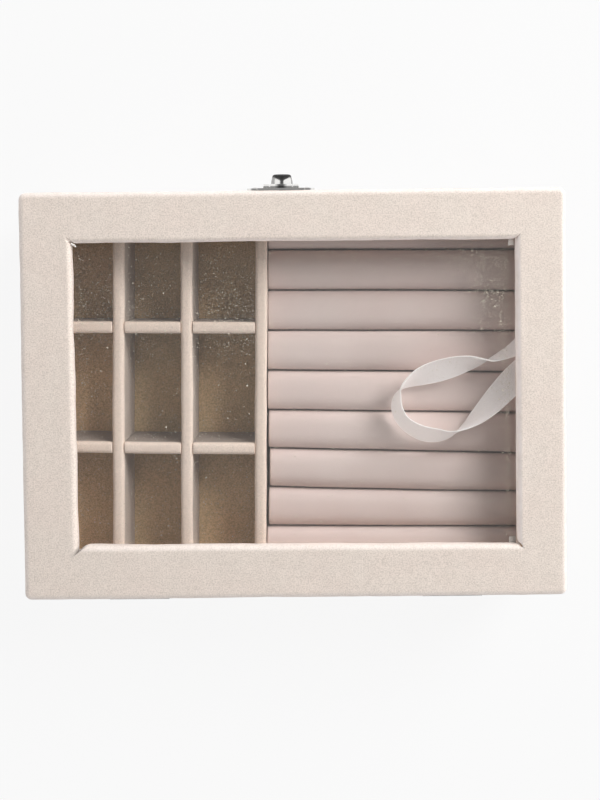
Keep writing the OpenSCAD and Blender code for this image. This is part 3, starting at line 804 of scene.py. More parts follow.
class RINGBOX_OT_frame_boards(Operator):
    """Make the boards inside the lid's frame, cut back where the window's edge wanders"""

    bl_idname = "ringbox.frame_boards"
    bl_label = "Frame boards"

    def execute(self, context):
        low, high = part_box("lid_bar_front")
        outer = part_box("lid_velvet")[1]
        outline = rounded_outline(band(1, 17.2, low.z, high.z), np.array([0.3, 2.0, 0.3, 0.3]) * MM, 2.0 * MM)
        points = loop_surface(loop_stations(60), np.array([outer.x, outer.y]), CORNER, outline,
                              lambda points: 0.03 * MM * swell(points, 0.02, 15))
        make_piece("frame_boards", points, ring_faces(points), board_material(context.scene.ring_box), "lid",
                   "board", ["lid_bar_" + side for side in SIDES])
        return {"FINISHED"}


class RINGBOX_OT_linings(Operator):
    """Make the velvet panels on the walls and the floor, and the strips under the glass"""

    bl_idname = "ringbox.linings"
    bl_label = "Linings"

    def execute(self, context):
        box = context.scene.ring_box
        for name, nodes, near, far, radii, step, body, seed in PANELS:
            low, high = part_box(nodes.format("front"))
            outline = rounded_outline(band(near, far, low.z, high.z), np.array(radii) * MM, step * MM)
            points = loop_surface(loop_stations(100, 2), np.array([0.1, 0.075]), 0.0, outline,
                                  lambda points: 0.06 * MM * swell(points, 0.02, seed))
            make_piece(name, points, ring_faces(points), lining_material(box), body, "lining",
                       [nodes.format(side) for side in SIDES])
        low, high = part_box("floor_lining")
        outline = rounded_outline([[low.y, low.z], [low.y, high.z], [high.y, high.z], [high.y, low.z]],
                                  np.full(4, 0.4) * MM, 2.0 * MM)
        points = bar_points(outline, low.x, high.x, 2.0 * MM, 0.3 * MM)
        points[..., 2] += (points[..., 2] > low.z + 1 * MM) * 0.12 * MM * swell(points, 0.03, 33)
        make_piece("floor_panel", points, tube_faces(points), floor_material(box), "base", "lining",
                   ["floor_lining"])
        return {"FINISHED"}


def lean_of(node, along):
    """The lean at places along a piece, changing evenly between its ends."""
    low, high = (SEPARATOR_X, RIGHT_WALL_X) if "cross" in node else (-INSIDE, INSIDE)
    share = (along / MM - low) / (high - low)
    return (LEAN[node][0] * (1 - share) + LEAN[node][1] * share) * MM


def divider_outline(low, high, across):
    """A divider's section, with upright sides and a round top, and its middle."""
    half = (high[across] - low[across]) / 2
    return crowned_outline(half, low.z, high.z, half, 3.0, 1.0 * MM), (high[across] + low[across]) / 2


def nap_shade(points, top, dark):
    """How dark the painted shade on a divider's sides is: it darkens them below the top, where shade falls in the
    compartments.
    """
    return dark * smooth_step(top - points[..., 2], 0.9 * MM, 3.5 * MM)


def long_divider(node, bend, seed):
    """A divider along Y. It wanders from its line, more at its top, its sides are a little uneven, and
    it leans. Gives the points and their shade."""
    low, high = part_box(node)
    outline, middle = divider_outline(low, high, 0)
    points = bar_points(outline, low.y, high.y, 1.2 * MM, 0.5 * MM, along=1)
    points[..., 0] += middle
    tall = smooth_step(points[..., 2], low.z, high.z)
    points[..., 0] += bend * tall * swell(points * (0, 1, 0), 0.06, seed)
    points[..., 0] += 0.1 * MM * np.sign(points[..., 0] - middle) * swell(points * (0, 1, 1), 0.018, seed + 4)
    points[..., 0] += lean_of(node, points[..., 1])
    return points, nap_shade(points, high.z, LONG_SHADE)


def cross_divider(node, bend, seed):
    """A divider along X in three lengths, from the separator to the right wall between the leaning long
    dividers. Gives the points, the faces and the points' shade."""
    low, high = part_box(node)
    outline, middle = divider_outline(low, high, 1)
    ends = [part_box(other)[end].x + lean_of(other, middle) for other, end in (
        ("separator", 1), ("long_divider_inner", 0), ("long_divider_inner", 1), ("long_divider_outer", 0),
        ("long_divider_outer", 1))] + [high.x]
    grids, faces, total = [], [], 0
    for start, end in zip(ends[::2], ends[1::2]):
        points = bar_points(outline, start + 0.05 * MM, end - 0.05 * MM, 1.0 * MM, 0.35 * MM)
        points[..., 1] += middle
        along = points * (1, 0, 0)
        points[..., 1] += bend * 0.8 * swell(along, 0.05, seed) + lean_of(node, points[..., 0])
        points[..., 2] += (0.15 * MM * swell(along, 0.03, seed + 3) - 0.15 * MM) * (points[..., 2] > 0.02)
        grids.append(points.reshape(-1, 3))
        faces.append(tube_faces(points) + total)
        total += len(grids[-1])
    points = np.vstack(grids)
    return points, np.vstack(faces), nap_shade(points, high.z, CROSS_SHADE)


class RINGBOX_OT_dividers(Operator):
    """Make the velvet-covered dividers"""

    bl_idname = "ringbox.dividers"
    bl_label = "Dividers"

    def execute(self, context):
        box = context.scene.ring_box
        dressed = {}
        for k, node in enumerate(("separator", "long_divider_outer", "long_divider_inner")):
            points, shade = long_divider(node, box.linings.bend, 41 + k)
            dressed[node] = points, tube_faces(points), shade
        for k, node in enumerate(("cross_divider_front", "cross_divider_rear")):
            dressed[node] = cross_divider(node, box.linings.bend, 51 + k)
        for node, (points, faces, shade) in dressed.items():
            make_piece(node + "_velvet", points, faces, lining_material(box), "base", "lining", [node],
                       {"painted_shade": shade})
        return {"FINISHED"}


# ---- padded rolls ----

# Rolls near the middle of the rear stop a little short of the separator: by how many millimetres
SHORT_ROLLS = {6: 0.45, 7: 0.9, 8: 0.6}
# How far the seams between the rolls lie towards the rear, in millimetres: a row for each seam from
# the front wall to the rear wall, at the three places of DRIFT_AT along X: at the separator, in the
# middle and at the left wall
DRIFT_AT = (6.0, -35.0, -83.0)
SEAM_DRIFT = np.array([
    [0, 0, 0], [-1.1, -0.8, -0.4], [-0.5, -0.1, 0.6], [0.0, 0.45, 1.1], [0.45, 1.2, 2.2], [0.8, 1.75, 2.9],
    [0.75, 2.05, 3.5], [0.8, 2.2, 3.3], [0.9, 1.45, 2.1], [0, 0, 0]])


def roll_points(number):
    """A roll before it is padded: a crowned section carried along X with soft ends, a little lower than
    the space that it fills. Gives the points and the roll's middle along Y."""
    low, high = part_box(f"ring_roll_{number}")
    middle = (low.y + high.y) / 2
    half = (high.y - low.y) / 2 + 0.1 * MM
    outline = crowned_outline(half, low.z, high.z - 0.3 * MM, 6.2 * MM, 2.6, 1.3 * MM)
    right_end = high.x + 0.1 * MM - SHORT_ROLLS.get(number, 0.0) * MM
    points = bar_points(outline, low.x + 0.2 * MM, right_end, 1.3 * MM, 0.5 * MM)
    points[..., 1] += middle
    return points, middle


def crowd(points):
    """Moves rolls that share a tray a little, so that the seams lie where the drift says. The drift is
    read between seams along Y in equal parts, and along X on a parabola through its three places.
    The rolls' right ends follow the separator's lean."""
    x, y = points[..., 0] / MM, points[..., 1] / MM
    place = np.clip((y + INSIDE) / ROLL_PITCH, 0, ROLLS - 1e-6)
    k = place.astype(int)
    row = SEAM_DRIFT[k] + (place - k)[..., None] * (SEAM_DRIFT[k + 1] - SEAM_DRIFT[k])
    drift = 0
    for this, here in enumerate(DRIFT_AT):
        one, other = DRIFT_AT[:this] + DRIFT_AT[this + 1:]
        drift = drift + row[..., this] * (x - one) * (x - other) / ((here - one) * (here - other))
    moved = points.copy()
    moved[..., 1] += drift * MM
    moved[..., 0] += lean_of("separator", points[..., 1]) * smooth_step(x, -25, 10)
    return moved


def pad_rolls(rolls, settings):
    """Pushes the rolls' cloth out with Blender's cloth and an even pressure, held at the foot. Each
    point moves by the cap at most."""
    points = np.vstack([roll.reshape(-1, 3) for roll in rolls])
    starts = np.cumsum([0] + [roll.shape[0] * roll.shape[1] for roll in rolls])
    faces = np.vstack([tube_faces(roll) + start for roll, start in zip(rolls, starts)])
    scene = bpy.context.scene
    mesh = bpy.data.meshes.new("padding")
    mesh.from_pydata(points.tolist(), [], faces.tolist())
    cloth_object = bpy.data.objects.new("padding", mesh)
    scene.collection.objects.link(cloth_object)
    foot = points[:, 2] < points[:, 2].min() + 2 * MM
    cloth_object.vertex_groups.new(name="held").add(np.flatnonzero(foot).tolist(), 1.0, "REPLACE")
    cloth = cloth_object.modifiers.new("cloth", "CLOTH")
    cloth.settings.vertex_group_mass = "held"
    cloth.settings.quality = 6
    cloth.settings.mass = 0.15
    cloth.settings.tension_stiffness = cloth.settings.compression_stiffness = 12
    cloth.settings.bending_stiffness = 0.3
    cloth.settings.use_pressure = True
    cloth.settings.uniform_pressure_force = settings.pressure
    cloth.settings.effector_weights.gravity = 0
    cloth.collision_settings.use_collision = False
    cloth.point_cache.frame_start, cloth.point_cache.frame_end = 1, settings.frames
    for number in range(1, settings.frames + 1):
        scene.frame_set(number)
    solved = cloth_object.evaluated_get(bpy.context.evaluated_depsgraph_get()).data
    moved = np.zeros(len(points) * 3)
    solved.vertices.foreach_get("co", moved)
    scene.frame_set(1)
    bpy.data.objects.remove(cloth_object)
    shift = moved.reshape(-1, 3) - points
    length = np.maximum(np.linalg.norm(shift, axis=1, keepdims=True), 1e-12)
    points = points + shift * np.minimum(length, settings.swelling) / length
    return [part.reshape(roll.shape) for part, roll in zip(np.split(points, starts[1:-1]), rolls)]


class RINGBOX_OT_rolls(Operator):
    """Make the padded ring rolls"""

    bl_idname = "ringbox.rolls"
    bl_label = "Ring rolls"

    def execute(self, context):
        box = context.scene.ring_box
        rolls, middles = zip(*[roll_points(number) for number in range(1, ROLLS + 1)])
        rolls = pad_rolls(rolls, box.rolls)
        for number, (points, middle) in enumerate(zip(rolls, middles), 1):
            low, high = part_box(f"ring_roll_{number}")
            tall = smooth_step(points[..., 2], low.z, high.z - 3 * MM)
            points[..., 2] += 0.22 * MM * tall * swell(points * (1, 0.4, 0), 0.045, 60 + number)
            points[..., 1] += 0.10 * MM * tall * swell(points * (1, 0, 0), 0.05, 70 + number)
            reach = (high.y - low.y) / 2
            points[..., 1] = np.clip(points[..., 1], middle - reach, middle + reach)
            points[..., 2] = np.maximum(points[..., 2], low.z)
            # Painted shade along the seams where the rolls press together
            painted_shade = 0.6 * smooth_step(np.abs(points[..., 1] - middle), reach - 0.4 * MM, reach)
            points = crowd(points)
            piece = make_piece(f"padded_roll_{number}", points, tube_faces(points), roll_material(box), "base",
                               "roll", [f"ring_roll_{number}"], {"painted_shade": painted_shade})
        return {"FINISHED"}


# ---- ribbon ----

# The ribbon's route from the lid to the body in millimetres: the middle of the ribbon, and its lean,
# the share of half the width by which the upper edge lies to the left of the lower one
ROUTE = np.array([
    [-93.6, -19.5, 38.6, 0.95], [-87.7, -17.2, 37.4, 0.68], [-82.8, -14.6, 36.8, 0.36], [-78.5, -12.5, 36.7, 0.18],
    [-74.3, -10.9, 36.8, -0.02], [-70.4, -10.3, 37.0, -0.36], [-65.9, -9.8, 37.2, -0.64],
    [-60.3, -8.6, 37.3, -0.82], [-54.5, -7.1, 37.3, -0.87], [-48.7, -5.4, 37.2, -0.78], [-44.3, -3.4, 37.2, -0.54],
    [-40.9, -0.9, 37.1, -0.24], [-39.4, 1.9, 37.1, 0.10], [-38.8, 4.9, 37.1, 0.28], [-39.1, 7.7, 37.1, 0.38],
    [-40.7, 11.1, 37.0, 0.46], [-44.1, 14.2, 37.0, 0.56], [-48.8, 16.5, 37.0, 0.64], [-54.0, 17.3, 37.0, 0.60],
    [-59.0, 16.9, 36.9, 0.36], [-64.0, 14.4, 36.8, 0.02], [-68.6, 10.9, 36.6, -0.34], [-72.9, 7.0, 36.4, -0.60],
    [-77.4, 2.4, 36.2, -0.80], [-82.2, -2.5, 35.9, -0.92], [-87.4, -7.2, 35.5, -0.95], [-92.1, -9.8, 35.0, -0.95]])
RIBBON_ROWS = 261
# The pieces of the ribbon: first and last row of its strip, the body that carries it, or None for the
# fold between the two, and the node that it stands for. Then what each piece hangs on
RIBBON_PIECES = {"ribbon_lid_end": (0, 32, "ribbon_upper", ["ribbon_lid_run"]),
                 "stay_ribbon": (32, 200, None, []),
                 "ribbon_body_end": (200, RIBBON_ROWS - 1, "ribbon_lower", ["ribbon_body_run"])}
RIBBON_HANGS_ON = {"ribbon_lid_end": ["lid_cover", "stay_ribbon"],
                   "ribbon_body_end": ["wall_lining", "stay_ribbon"],
                   "stay_ribbon": ["ribbon_lid_end", "ribbon_body_end"]}
# Places across the ribbon as shares of half its width. A woven edge is a bead about its middle, and the
# flat cloth reaches into it
RIBBON_PLACES = np.array([-1, -0.985, -0.96, -0.93, -0.91, -0.5, 0, 0.5, 0.91, 0.93, 0.96, 0.985, 1])
EDGE_MIDDLE, EDGE_REACH, CLOTH_REACH = 0.96, 0.04, 0.95


def ribbon_points(s):
    """The ribbon as a closed thin strip, and its place on the flat cloth in widths. Its middle follows
    the route, its width leans by the share and stands up by what is left, and it bows a little across.
    A woven edge is a thicker bead."""
    middle, lean = ROUTE[:, :3] * MM, ROUTE[:, 3:]
    way = unit(np.gradient(middle[:, :2], axis=0))
    way[0], way[-1] = (1, 0), (-1, 0)
    half = np.concatenate([-way[:, 1:] * lean, way[:, :1] * lean, np.sqrt(1 - lean ** 2)], -1)
    line = curve_through(np.hstack([middle, half]), RIBBON_ROWS)
    middle, half = line[:, :3], line[:, 3:]
    half *= s.width / 2 / np.linalg.norm(half, axis=1, keepdims=True)
    face = unit(np.cross(np.gradient(middle, axis=0), half))
    across = np.concatenate([RIBBON_PLACES, RIBBON_PLACES[::-1]])[None, :, None]
    side = np.repeat([1.0, -1.0], len(RIBBON_PLACES))[None, :, None]
    bead = np.clip(1 - ((np.abs(across) - EDGE_MIDDLE) / EDGE_REACH) ** 2, 0, 1) ** 0.5
    flat = s.thickness / 2 * (np.abs(across) < CLOTH_REACH)
    offset = s.camber * (1 - across ** 2) + side * np.maximum(s.bead / 2 * bead, flat)
    points = middle[:, None] + half[:, None] * across + face[:, None] * offset
    length = np.concatenate([[0], np.cumsum(np.linalg.norm(np.diff(middle, axis=0), axis=1))])
    cloth = np.stack(np.broadcast_arrays(length[:, None] / s.width, (across[..., 0] + 1) / 2), -1)
    return points, cloth


class RINGBOX_OT_ribbon(Operator):
    """Make the ribbon that stays the lid"""

    bl_idname = "ringbox.ribbon"
    bl_label = "Ribbon"

    def execute(self, context):
        box = context.scene.ring_box
        points, cloth = ribbon_points(box.ribbon)
        made = {}
        for name, (first, last, body, nodes) in RIBBON_PIECES.items():
            part = slice(first, last + 1)
            faces = strip_faces(last + 1 - first, points.shape[1])
            made[name] = make_piece(name, points[part], faces, ribbon_material(box), body, "ribbon", nodes,
                                    sheet=cloth[part])
        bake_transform(made["stay_ribbon"])
        for name, hung in RIBBON_HANGS_ON.items():
            first, last = RIBBON_PIECES[name][:2]
        return {"FINISHED"}


# ---- glass ----

# The pane that shows, in millimetres, and how far above it dust and card, and fibres, lie
PANE_LOW, PANE_HIGH = (-81, -56), (79.5, 55)
LAID, FIBRE_LAID = 0.06, 0.09
# Drifts of dust: middle x and y, spread along x and along y in millimetres, and share of the specks
DRIFTS = np.array([
    [-73, -36, 4.5, 8, 0.07], [-78, -22, 1.3, 22, 0.06], [-79, 22, 0.8, 18, 0.05], [-66, -49, 9, 2.5, 0.03],
    [78.5, -10, 1.2, 30, 0.03], [22, -28, 7, 9, 0.08], [66, -30, 9, 9, 0.05], [30, 35, 30, 14, 0.06]])
SPECK_CORNERS = 5
# Tangles of lint on the pane: middle x and y in millimetres, number of fibres, size. Stray fibres lie
# anywhere
TANGLES = ((-67.7, -37.2, 3, 0.8), (-71.2, -36.8, 4, 0.8), (-72.9, -37.4, 3, 0.7), (-69.2, -25.6, 3, 1.1),
           (-69.6, -23.4, 2, 0.9), (-76.4, -24.8, 3, 1.2), (-77.0, -29.4, 3, 1.0), (-72.6, -32.4, 2, 0.8),
           (-61.5, -47.0, 2, 0.6), (-58.0, -47.4, 2, 0.6), (-74.6, -49.4, 3, 1.0), (-76.0, -33.5, 3, 0.9))
STRAYS, STRAY_SIZE = 16, 0.7
FIBRE_POINTS, FIBRE_CORNERS = 9, 3
# Tabs in the window's corners: piece, material, low and high corner in millimetres, how far it curls
# up, and seed
TABS = (("card_tab_front", card_material, (-81.6, -56.2), (-79.5, -54.0), 0.5, 91),
        ("tape_tab_rear", tape_material, (-81.8, 53.8), (-79.2, 56.6), 0.35, 92))
THREAD_POINTS, THREAD_CORNERS = 13, 8


def dust_points(s):
    """Dust on the pane, seen from above: each speck is a flat patch with uneven corners. Some lie in
    drifts, normally spread about their middles, and the rest lie anywhere."""
    draw = np.random.RandomState(83)
    near = draw.choice(len(DRIFTS) + 1, s.specks, p=[*DRIFTS[:, 4], 1 - DRIFTS[:, 4].sum()])
    middles = draw.uniform(PANE_LOW, PANE_HIGH, (s.specks, 2))
    for k, drift in enumerate(DRIFTS):
        here = near == k
        middles[here] = drift[:2] + draw.normal(size=(here.sum(), 2)) * drift[2:4]
    middles = middles[(middles > PANE_LOW).all(1) & (middles < PANE_HIGH).all(1)] * MM
    count = len(middles)
    radius = s.speck * np.exp(draw.normal(size=count) * 0.42)[:, None]
    turn = draw.uniform(0, 2 * np.pi, (count, 1)) + np.arange(SPECK_CORNERS) * 2 * np.pi / SPECK_CORNERS
    reach = radius * draw.uniform(0.6, 1.3, (count, SPECK_CORNERS))
    return middles[:, None] + np.stack([reach * np.cos(turn), reach * np.sin(turn)], -1)


def lint_points(top):
    """Short fibres that lie on the pane: an arc each, with a three-sided section, thin at both ends."""
    draw = np.random.RandomState(87)
    starts = [(x, y, size) for x, y, count, size in TANGLES for _ in range(count)]
    starts += [(*draw.uniform((-80, -55), (78, 54)), STRAY_SIZE) for _ in range(STRAYS)]
    up = np.tile((0.0, 0.0, 1.0), (FIBRE_POINTS, 1))
    grids, faces = [], []
    for x, y, size in starts:
        turn = draw.uniform(0, 2 * np.pi) + np.linspace(0, draw.uniform(-3.2, 3.2), FIBRE_POINTS)
        steps = draw.uniform(0.10, 0.22) * size * np.stack([np.cos(turn), np.sin(turn)], -1)
        middle = np.array([x, y]) + draw.normal(size=2) * 0.3 * size
        line = np.cumsum(steps, axis=0)
        line = np.hstack([line - line.mean(0) + middle, np.full((FIBRE_POINTS, 1), top / MM + FIBRE_LAID)]) * MM
        side = np.stack([-np.sin(turn), np.cos(turn), np.zeros(FIBRE_POINTS)], -1)
        thick = draw.uniform(0.045, 0.08) * MM * np.sin(np.linspace(0.15, 3.0, FIBRE_POINTS))[:, None]
        fibre = tube_points(line, side, up, thick, FIBRE_CORNERS)
        faces.append(tube_faces(fibre) + FIBRE_POINTS * FIBRE_CORNERS * len(grids))
        grids.append(fibre.reshape(-1, 3))
    return np.vstack(grids), np.vstack(faces)


def tab_points(low, high, curl, seed, top):
    """A small tab on the pane as a closed strip: its outline wanders, and it curls up with the square of
    the share along X."""
    rows, columns = 15, 9
    x = np.linspace(low[0], high[0], rows)[:, None] * MM + np.zeros((1, columns))
    y = np.linspace(low[1], high[1], columns)[None, :] * MM + np.zeros((rows, 1))
    flat = np.stack([x, y, np.zeros_like(x)], -1)
    flat[..., :2] += 0.12 * MM * swell(flat, 0.002, seed)[..., None]
    share = np.linspace(0, 1, rows)[:, None] ** 2
    height = top + (LAID + curl * share) * MM + 0.04 * MM * swell(flat, 0.0015, seed + 2)
    upper = np.concatenate([flat[..., :2], height[..., None]], -1)
    lower = upper - (0, 0, 0.05 * MM)
    return np.concatenate([upper, lower[:, ::-1]], 1)


def thread_points():
    """A frayed thread across the front right corner: a line with a slow wave, round in section, whose
    radius falls at its ends as a sine to the power of a quarter, down to a point."""
    share = np.linspace(0, 1, THREAD_POINTS)[:, None]
    line = np.array([81.0, -56.5, 48.9]) + share * np.array([-1.6, 1.4, -1.2])
    line = line + np.sin(share * 7) * (0.05, 0.06, 0.03)
    way = np.gradient(line, axis=0)
    side = unit(np.cross(way, (0, 0, 1.0)))
    up = unit(np.cross(side, way))
    thick = 0.42 * np.sin(np.pi * np.clip(share, 0.03, 0.97)) ** 0.25
    tube = tube_points(line, side, up, thick, THREAD_CORNERS)
    start, end = (point[None, None].repeat(THREAD_CORNERS, 1) for point in (line[0], line[-1]))
    return np.concatenate([start, tube, end]) * MM


class RINGBOX_OT_glass(Operator):
    """Finish the pane and lay dust and lint on it"""

    bl_idname = "ringbox.glass"
    bl_label = "Glass and dust"

    def execute(self, context):
        box = context.scene.ring_box
        dress(frame["nodes"]["glass_pane"], glass_material(box))
        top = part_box("glass_pane")[1].z
        flat = dust_points(box.glass)
        points = np.concatenate([flat, np.full(flat.shape[:2] + (1,), top + LAID * MM)], -1)
        specks = np.arange(points.size // 3).reshape(-1, SPECK_CORNERS)
        make_piece("glass_dust", points, specks, dust_material(), "lid", "lining", merge=False)
        make_piece("glass_lint", *lint_points(top), dust_material(), "lid", "lining", merge=False)
        return {"FINISHED"}


class RINGBOX_OT_window_bits(Operator):
    """Make the bits of card, tape and thread that show in the window's corners"""

    bl_idname = "ringbox.window_bits"
    bl_label = "Card and thread"

    def execute(self, context):
        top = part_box("glass_pane")[1].z
        for name, finish_of, low, high, curl, seed in TABS:
            points = tab_points(low, high, curl, seed, top)
            make_piece(name, points, strip_faces(*points.shape[:2]), finish_of(), "lid", "lining")
        points = thread_points()
        make_piece("corner_thread", points, tube_faces(points), card_material(), "lid", "lining")
        return {"FINISHED"}


# ---- rigid pieces ----

# The latch tongue's sheet in millimetres: its thickness, how far it stands before the lid and falls
# below the pin, the radius and turn of its flare, and those of the curl at its end
SHEET, STAND, DROP = 0.8, 1.9, 7.0
FLARE, FLARE_TURN = 7.02, np.radians(75)
CURL, CURL_TURN = 0.33, np.radians(265)
# The radius of its bent sides, how far it bows between them, and its groove's half width and depth
SIDE_BEND, BOW, GROOVE, GROOVE_DEPTH = 1.25, 0.3, 0.85, 0.22
# Rows of points down its straight part, its flare and its curl, the rows between which the groove runs
# out into the lip, and the points across
STRAIGHT_ROWS, FLARE_ROWS, CURL_ROWS, LIP, TONGUE_COLUMNS = 10, 25, 15, (27, 33), 49
CURL_ROW = STRAIGHT_ROWS + FLARE_ROWS
# Bore and radius of the knuckle that turns on the pin
BORE, KNUCKLE = 0.66 * MM, 1.3 * MM


def shell_of(middle, normal, half_thick):
    """A closed sheet from its middle surface: one layer on each side of it, half a thickness away,
    joined round the border. Gives the points and the faces."""
    rows, columns = middle.shape[:2]
    upper, lower = middle + normal * half_thick[..., None], middle - normal * half_thick[..., None]
    points = np.concatenate([upper.reshape(-1, 3), lower.reshape(-1, 3)])
    faces = grid_faces(rows, columns)
    index = np.arange(rows * columns).reshape(rows, columns)
    border = np.concatenate([index[0, :-1], index[:-1, -1], index[-1, :0:-1], index[:0:-1, 0]])
    onward = np.roll(border, -1)
    rim = np.stack([border, onward, onward + rows * columns, border + rows * columns], -1)
    return points, np.vstack([faces, faces[:, ::-1] + rows * columns, rim])


def tongue_line():
    """The tongue seen from the side, in millimetres out from the lid and up from the pin: it falls
    straight, flares outwards on an arc, and ends in a small downward curl."""
    straight = np.stack([np.full(STRAIGHT_ROWS, STAND), np.linspace(-0.3, -DROP, STRAIGHT_ROWS)], -1)
    angle = np.linspace(0, FLARE_TURN, FLARE_ROWS + 1)[1:, None]
    flare = np.concatenate([STAND + FLARE * (1 - np.cos(angle)), -DROP - FLARE * np.sin(angle)], -1)
    centre = flare[-1] + CURL * np.array([-np.cos(FLARE_TURN), -np.sin(FLARE_TURN)])
    start = flare[-1] - centre
    angle = np.linspace(0, CURL_TURN, CURL_ROWS + 1)[1:, None]
    curl = centre + start * np.cos(angle) + np.array([start[1], -start[0]]) * np.sin(angle)
    return np.vstack([straight, flare, curl])


def tongue_sheet(low, high, pin_z, front):
    """The tongue's pressed sheet round its line. Its sides bend back on an arc, it bows between them, a
    groove runs down its middle, and the lip is a little narrower. Gives points, faces and how dark the
    painted shade and reflection is at each point."""
    line = tongue_line()
    way = unit(np.gradient(line, axis=0))
    half = (high.x - low.x) / 2 / MM - 0.25
    x = half * np.sin(np.linspace(-np.pi / 2, np.pi / 2, TONGUE_COLUMNS))
    row = np.arange(len(line))
    lip = smooth_step(row, *LIP)[:, None]
    bend = np.maximum(np.abs(x) - (half - SIDE_BEND), 0)
    bent = SIDE_BEND - np.sqrt(SIDE_BEND ** 2 - bend ** 2) + BOW * (x / half) ** 2
    grooved = smooth_step(row, 8, 14)[:, None] * (1 - lip)
    back = smooth_step(row, 2, 12)[:, None] * bent + grooved * GROOVE_DEPTH * np.exp(-(x / GROOVE) ** 6)
    held = way[np.minimum(row, CURL_ROW - 1)]
    place = line[:, None] - np.stack([-held[:, 1], held[:, 0]], -1)[:, None] * back[..., None]
    narrowed = 1 - 0.13 * smooth_step(row, LIP[0], CURL_ROW)[:, None]
    middle = np.stack([x * narrowed + (low.x + high.x) / 2 / MM - 0.2,
                       front / MM - place[..., 0], pin_z / MM + place[..., 1]], -1) * MM
    normal = unit(np.cross(np.gradient(middle, axis=1), np.gradient(middle, axis=0)))
    half_thick = np.where(row < CURL_ROW, SHEET / 2, CURL)[:, None]
    edge = np.sqrt(np.clip(1 - (np.maximum(np.abs(x) - (half - 0.3), 0) / 0.3) ** 2, 0.04, 1))
    points, faces = shell_of(middle, normal, half_thick * edge * MM)
    return points, faces, np.tile(tongue_shade(x, half, row, lip).ravel(), 2)


def tongue_shade(x, half, row, lip):
    """How black the sheet is painted, as shade and dark reflection: along the groove, which widens into the lip, and
    along the two sides.
    """
    strip = GROOVE + 2.6 * lip
    groove = 0.93 * (1 - smooth_step(np.abs(x), strip - 0.35, strip + 0.15))
    under = 0.93 * smooth_step(row, 30, LIP[1])[:, None]
    left, right = 0.55 * smooth_step(x, half - 1.5, half - 1.1), 0.8 * smooth_step(-x, half - 0.7, half - 0.3)
    return np.maximum(np.maximum(groove, under), np.maximum(left, right))


def knuckle_tube(low, high, centre):
    """A tube along X with rounded rims: a closed section carried round the pin's line."""
    section = rounded_outline([[low, BORE], [low, KNUCKLE], [high, KNUCKLE], [high, BORE]],
                              np.array([0, 0.2, 0.2, 0]) * MM, 1.5 * MM)
    angle = np.arange(36)[:, None] * 2 * np.pi / 36
    return np.stack(np.broadcast_arrays(section[:, 0], centre[0] + section[:, 1] * np.cos(angle),
                                        centre[1] + section[:, 1] * np.sin(angle)), -1)


class RINGBOX_OT_tongue(Operator):
    """Make the latch's pressed tongue with its knuckle"""

    bl_idname = "ringbox.tongue"
    bl_label = "Latch tongue"

    def execute(self, context):
        low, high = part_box("latch_tongue")
        pin_low, pin_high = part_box("latch_pin")
        pin = ((pin_low.y + pin_high.y) / 2, (pin_low.z + pin_high.z) / 2)
        sheet, faces, fold = tongue_sheet(low, high, pin[1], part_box("lid_velvet")[0].y)
        tube = knuckle_tube(low.x, high.x, pin)
        # Painted shade on the knuckle: a dark band round its middle, and its rear side darker
        shade = np.maximum(0.9 * (np.abs(tube[..., 0] - (low.x + high.x) / 2) < 0.9 * MM),
                           0.85 * smooth_step(tube[..., 1] - pin[0], 0.1 * MM, 0.6 * MM))
        make_piece("pressed_tongue", np.vstack([sheet, tube.reshape(-1, 3)]),
                   np.vstack([faces, ring_faces(tube) + len(sheet)]), metal_material(context.scene.ring_box),
                   "tongue", "metal", ["latch_tongue"], {"painted_shade": np.concatenate([fold, shade.ravel()])})
        return {"FINISHED"}


def dress(node, material):
    """Gives a node its material."""
    node.data.materials.clear()
    node.data.materials.append(material)


def dress_slot(slot, material):
    """Gives a material to every node that still shows and is in this slot of the record."""
    for part in frame["record"]["subparts"]:
        node = frame["nodes"][part["node"]]
        if part["material_slot"] == slot and not node.hide_render:
            dress(node, material)


class RINGBOX_OT_metalwork(Operator):
    """Finish the hinges, the latch and their nails"""

    bl_idname = "ringbox.metalwork"
    bl_label = "Metalwork"

    def execute(self, context):
        dress_slot("metal", metal_material(context.scene.ring_box))
        return {"FINISHED"}


class RINGBOX_OT_boards(Operator):
    """Finish the boards, the tray and the felt"""

    bl_idname = "ringbox.boards"
    bl_label = "Boards and felt"

    def execute(self, context):
        box = context.scene.ring_box
        for slot, finish_of in (("board", board_material), ("felt", felt_material), ("lining", lining_material)):
            dress_slot(slot, finish_of(box))
        return {"FINISHED"}


# ---- stage ----

WHITE = (1, 1, 1, 1)
FLOOR_REACH = 3.0
# Each soft lamp: name, strength, the way it comes from (degrees from +X towards +Y, and upwards), its
# distance and its width in metres
LAMPS = (("key", 0.75, 225, 18, 1.4, 0.75), ("high_key", 1.0, 225, 40, 1.4, 0.75), ("fill", 0.35, 135, 20, 1.6, 0.8),
         ("right", 0.13, 315, 18, 1.6, 0.8), ("edge", 0.45, 355, 4, 1.6, 0.2), ("rear", 0.3, 90, 4, 1.6, 0.2))
LAMP_AIM = Vector((0, 0, 0.04))
# The camera: lens and sensor in millimetres, shift, place in metres and turn in degrees
LENS, SENSOR, SHIFT = 49.32, 36.0, (0.0093, -0.1311)
CAMERA_PLACE, CAMERA_TURN = (0.0, -0.047, 0.450), (-1.49, 0.0, 179.389)


def background_rays(tree):
    """1 for the rays that show the background: those from the camera, and those that metal and glass
    send on before anything dull scatters them."""
    rays = add_node(tree, "ShaderNodeLightPath").outputs
    mirrored = sum_of(tree, rays["Is Glossy Ray"], rays["Is Transmission Ray"], "MAXIMUM")
    straight = sum_of(tree, rays["Diffuse Depth"], 0.5, "LESS_THAN")
    return sum_of(tree, rays["Is Camera Ray"], sum_of(tree, mirrored, straight, "MULTIPLY"), "MAXIMUM")


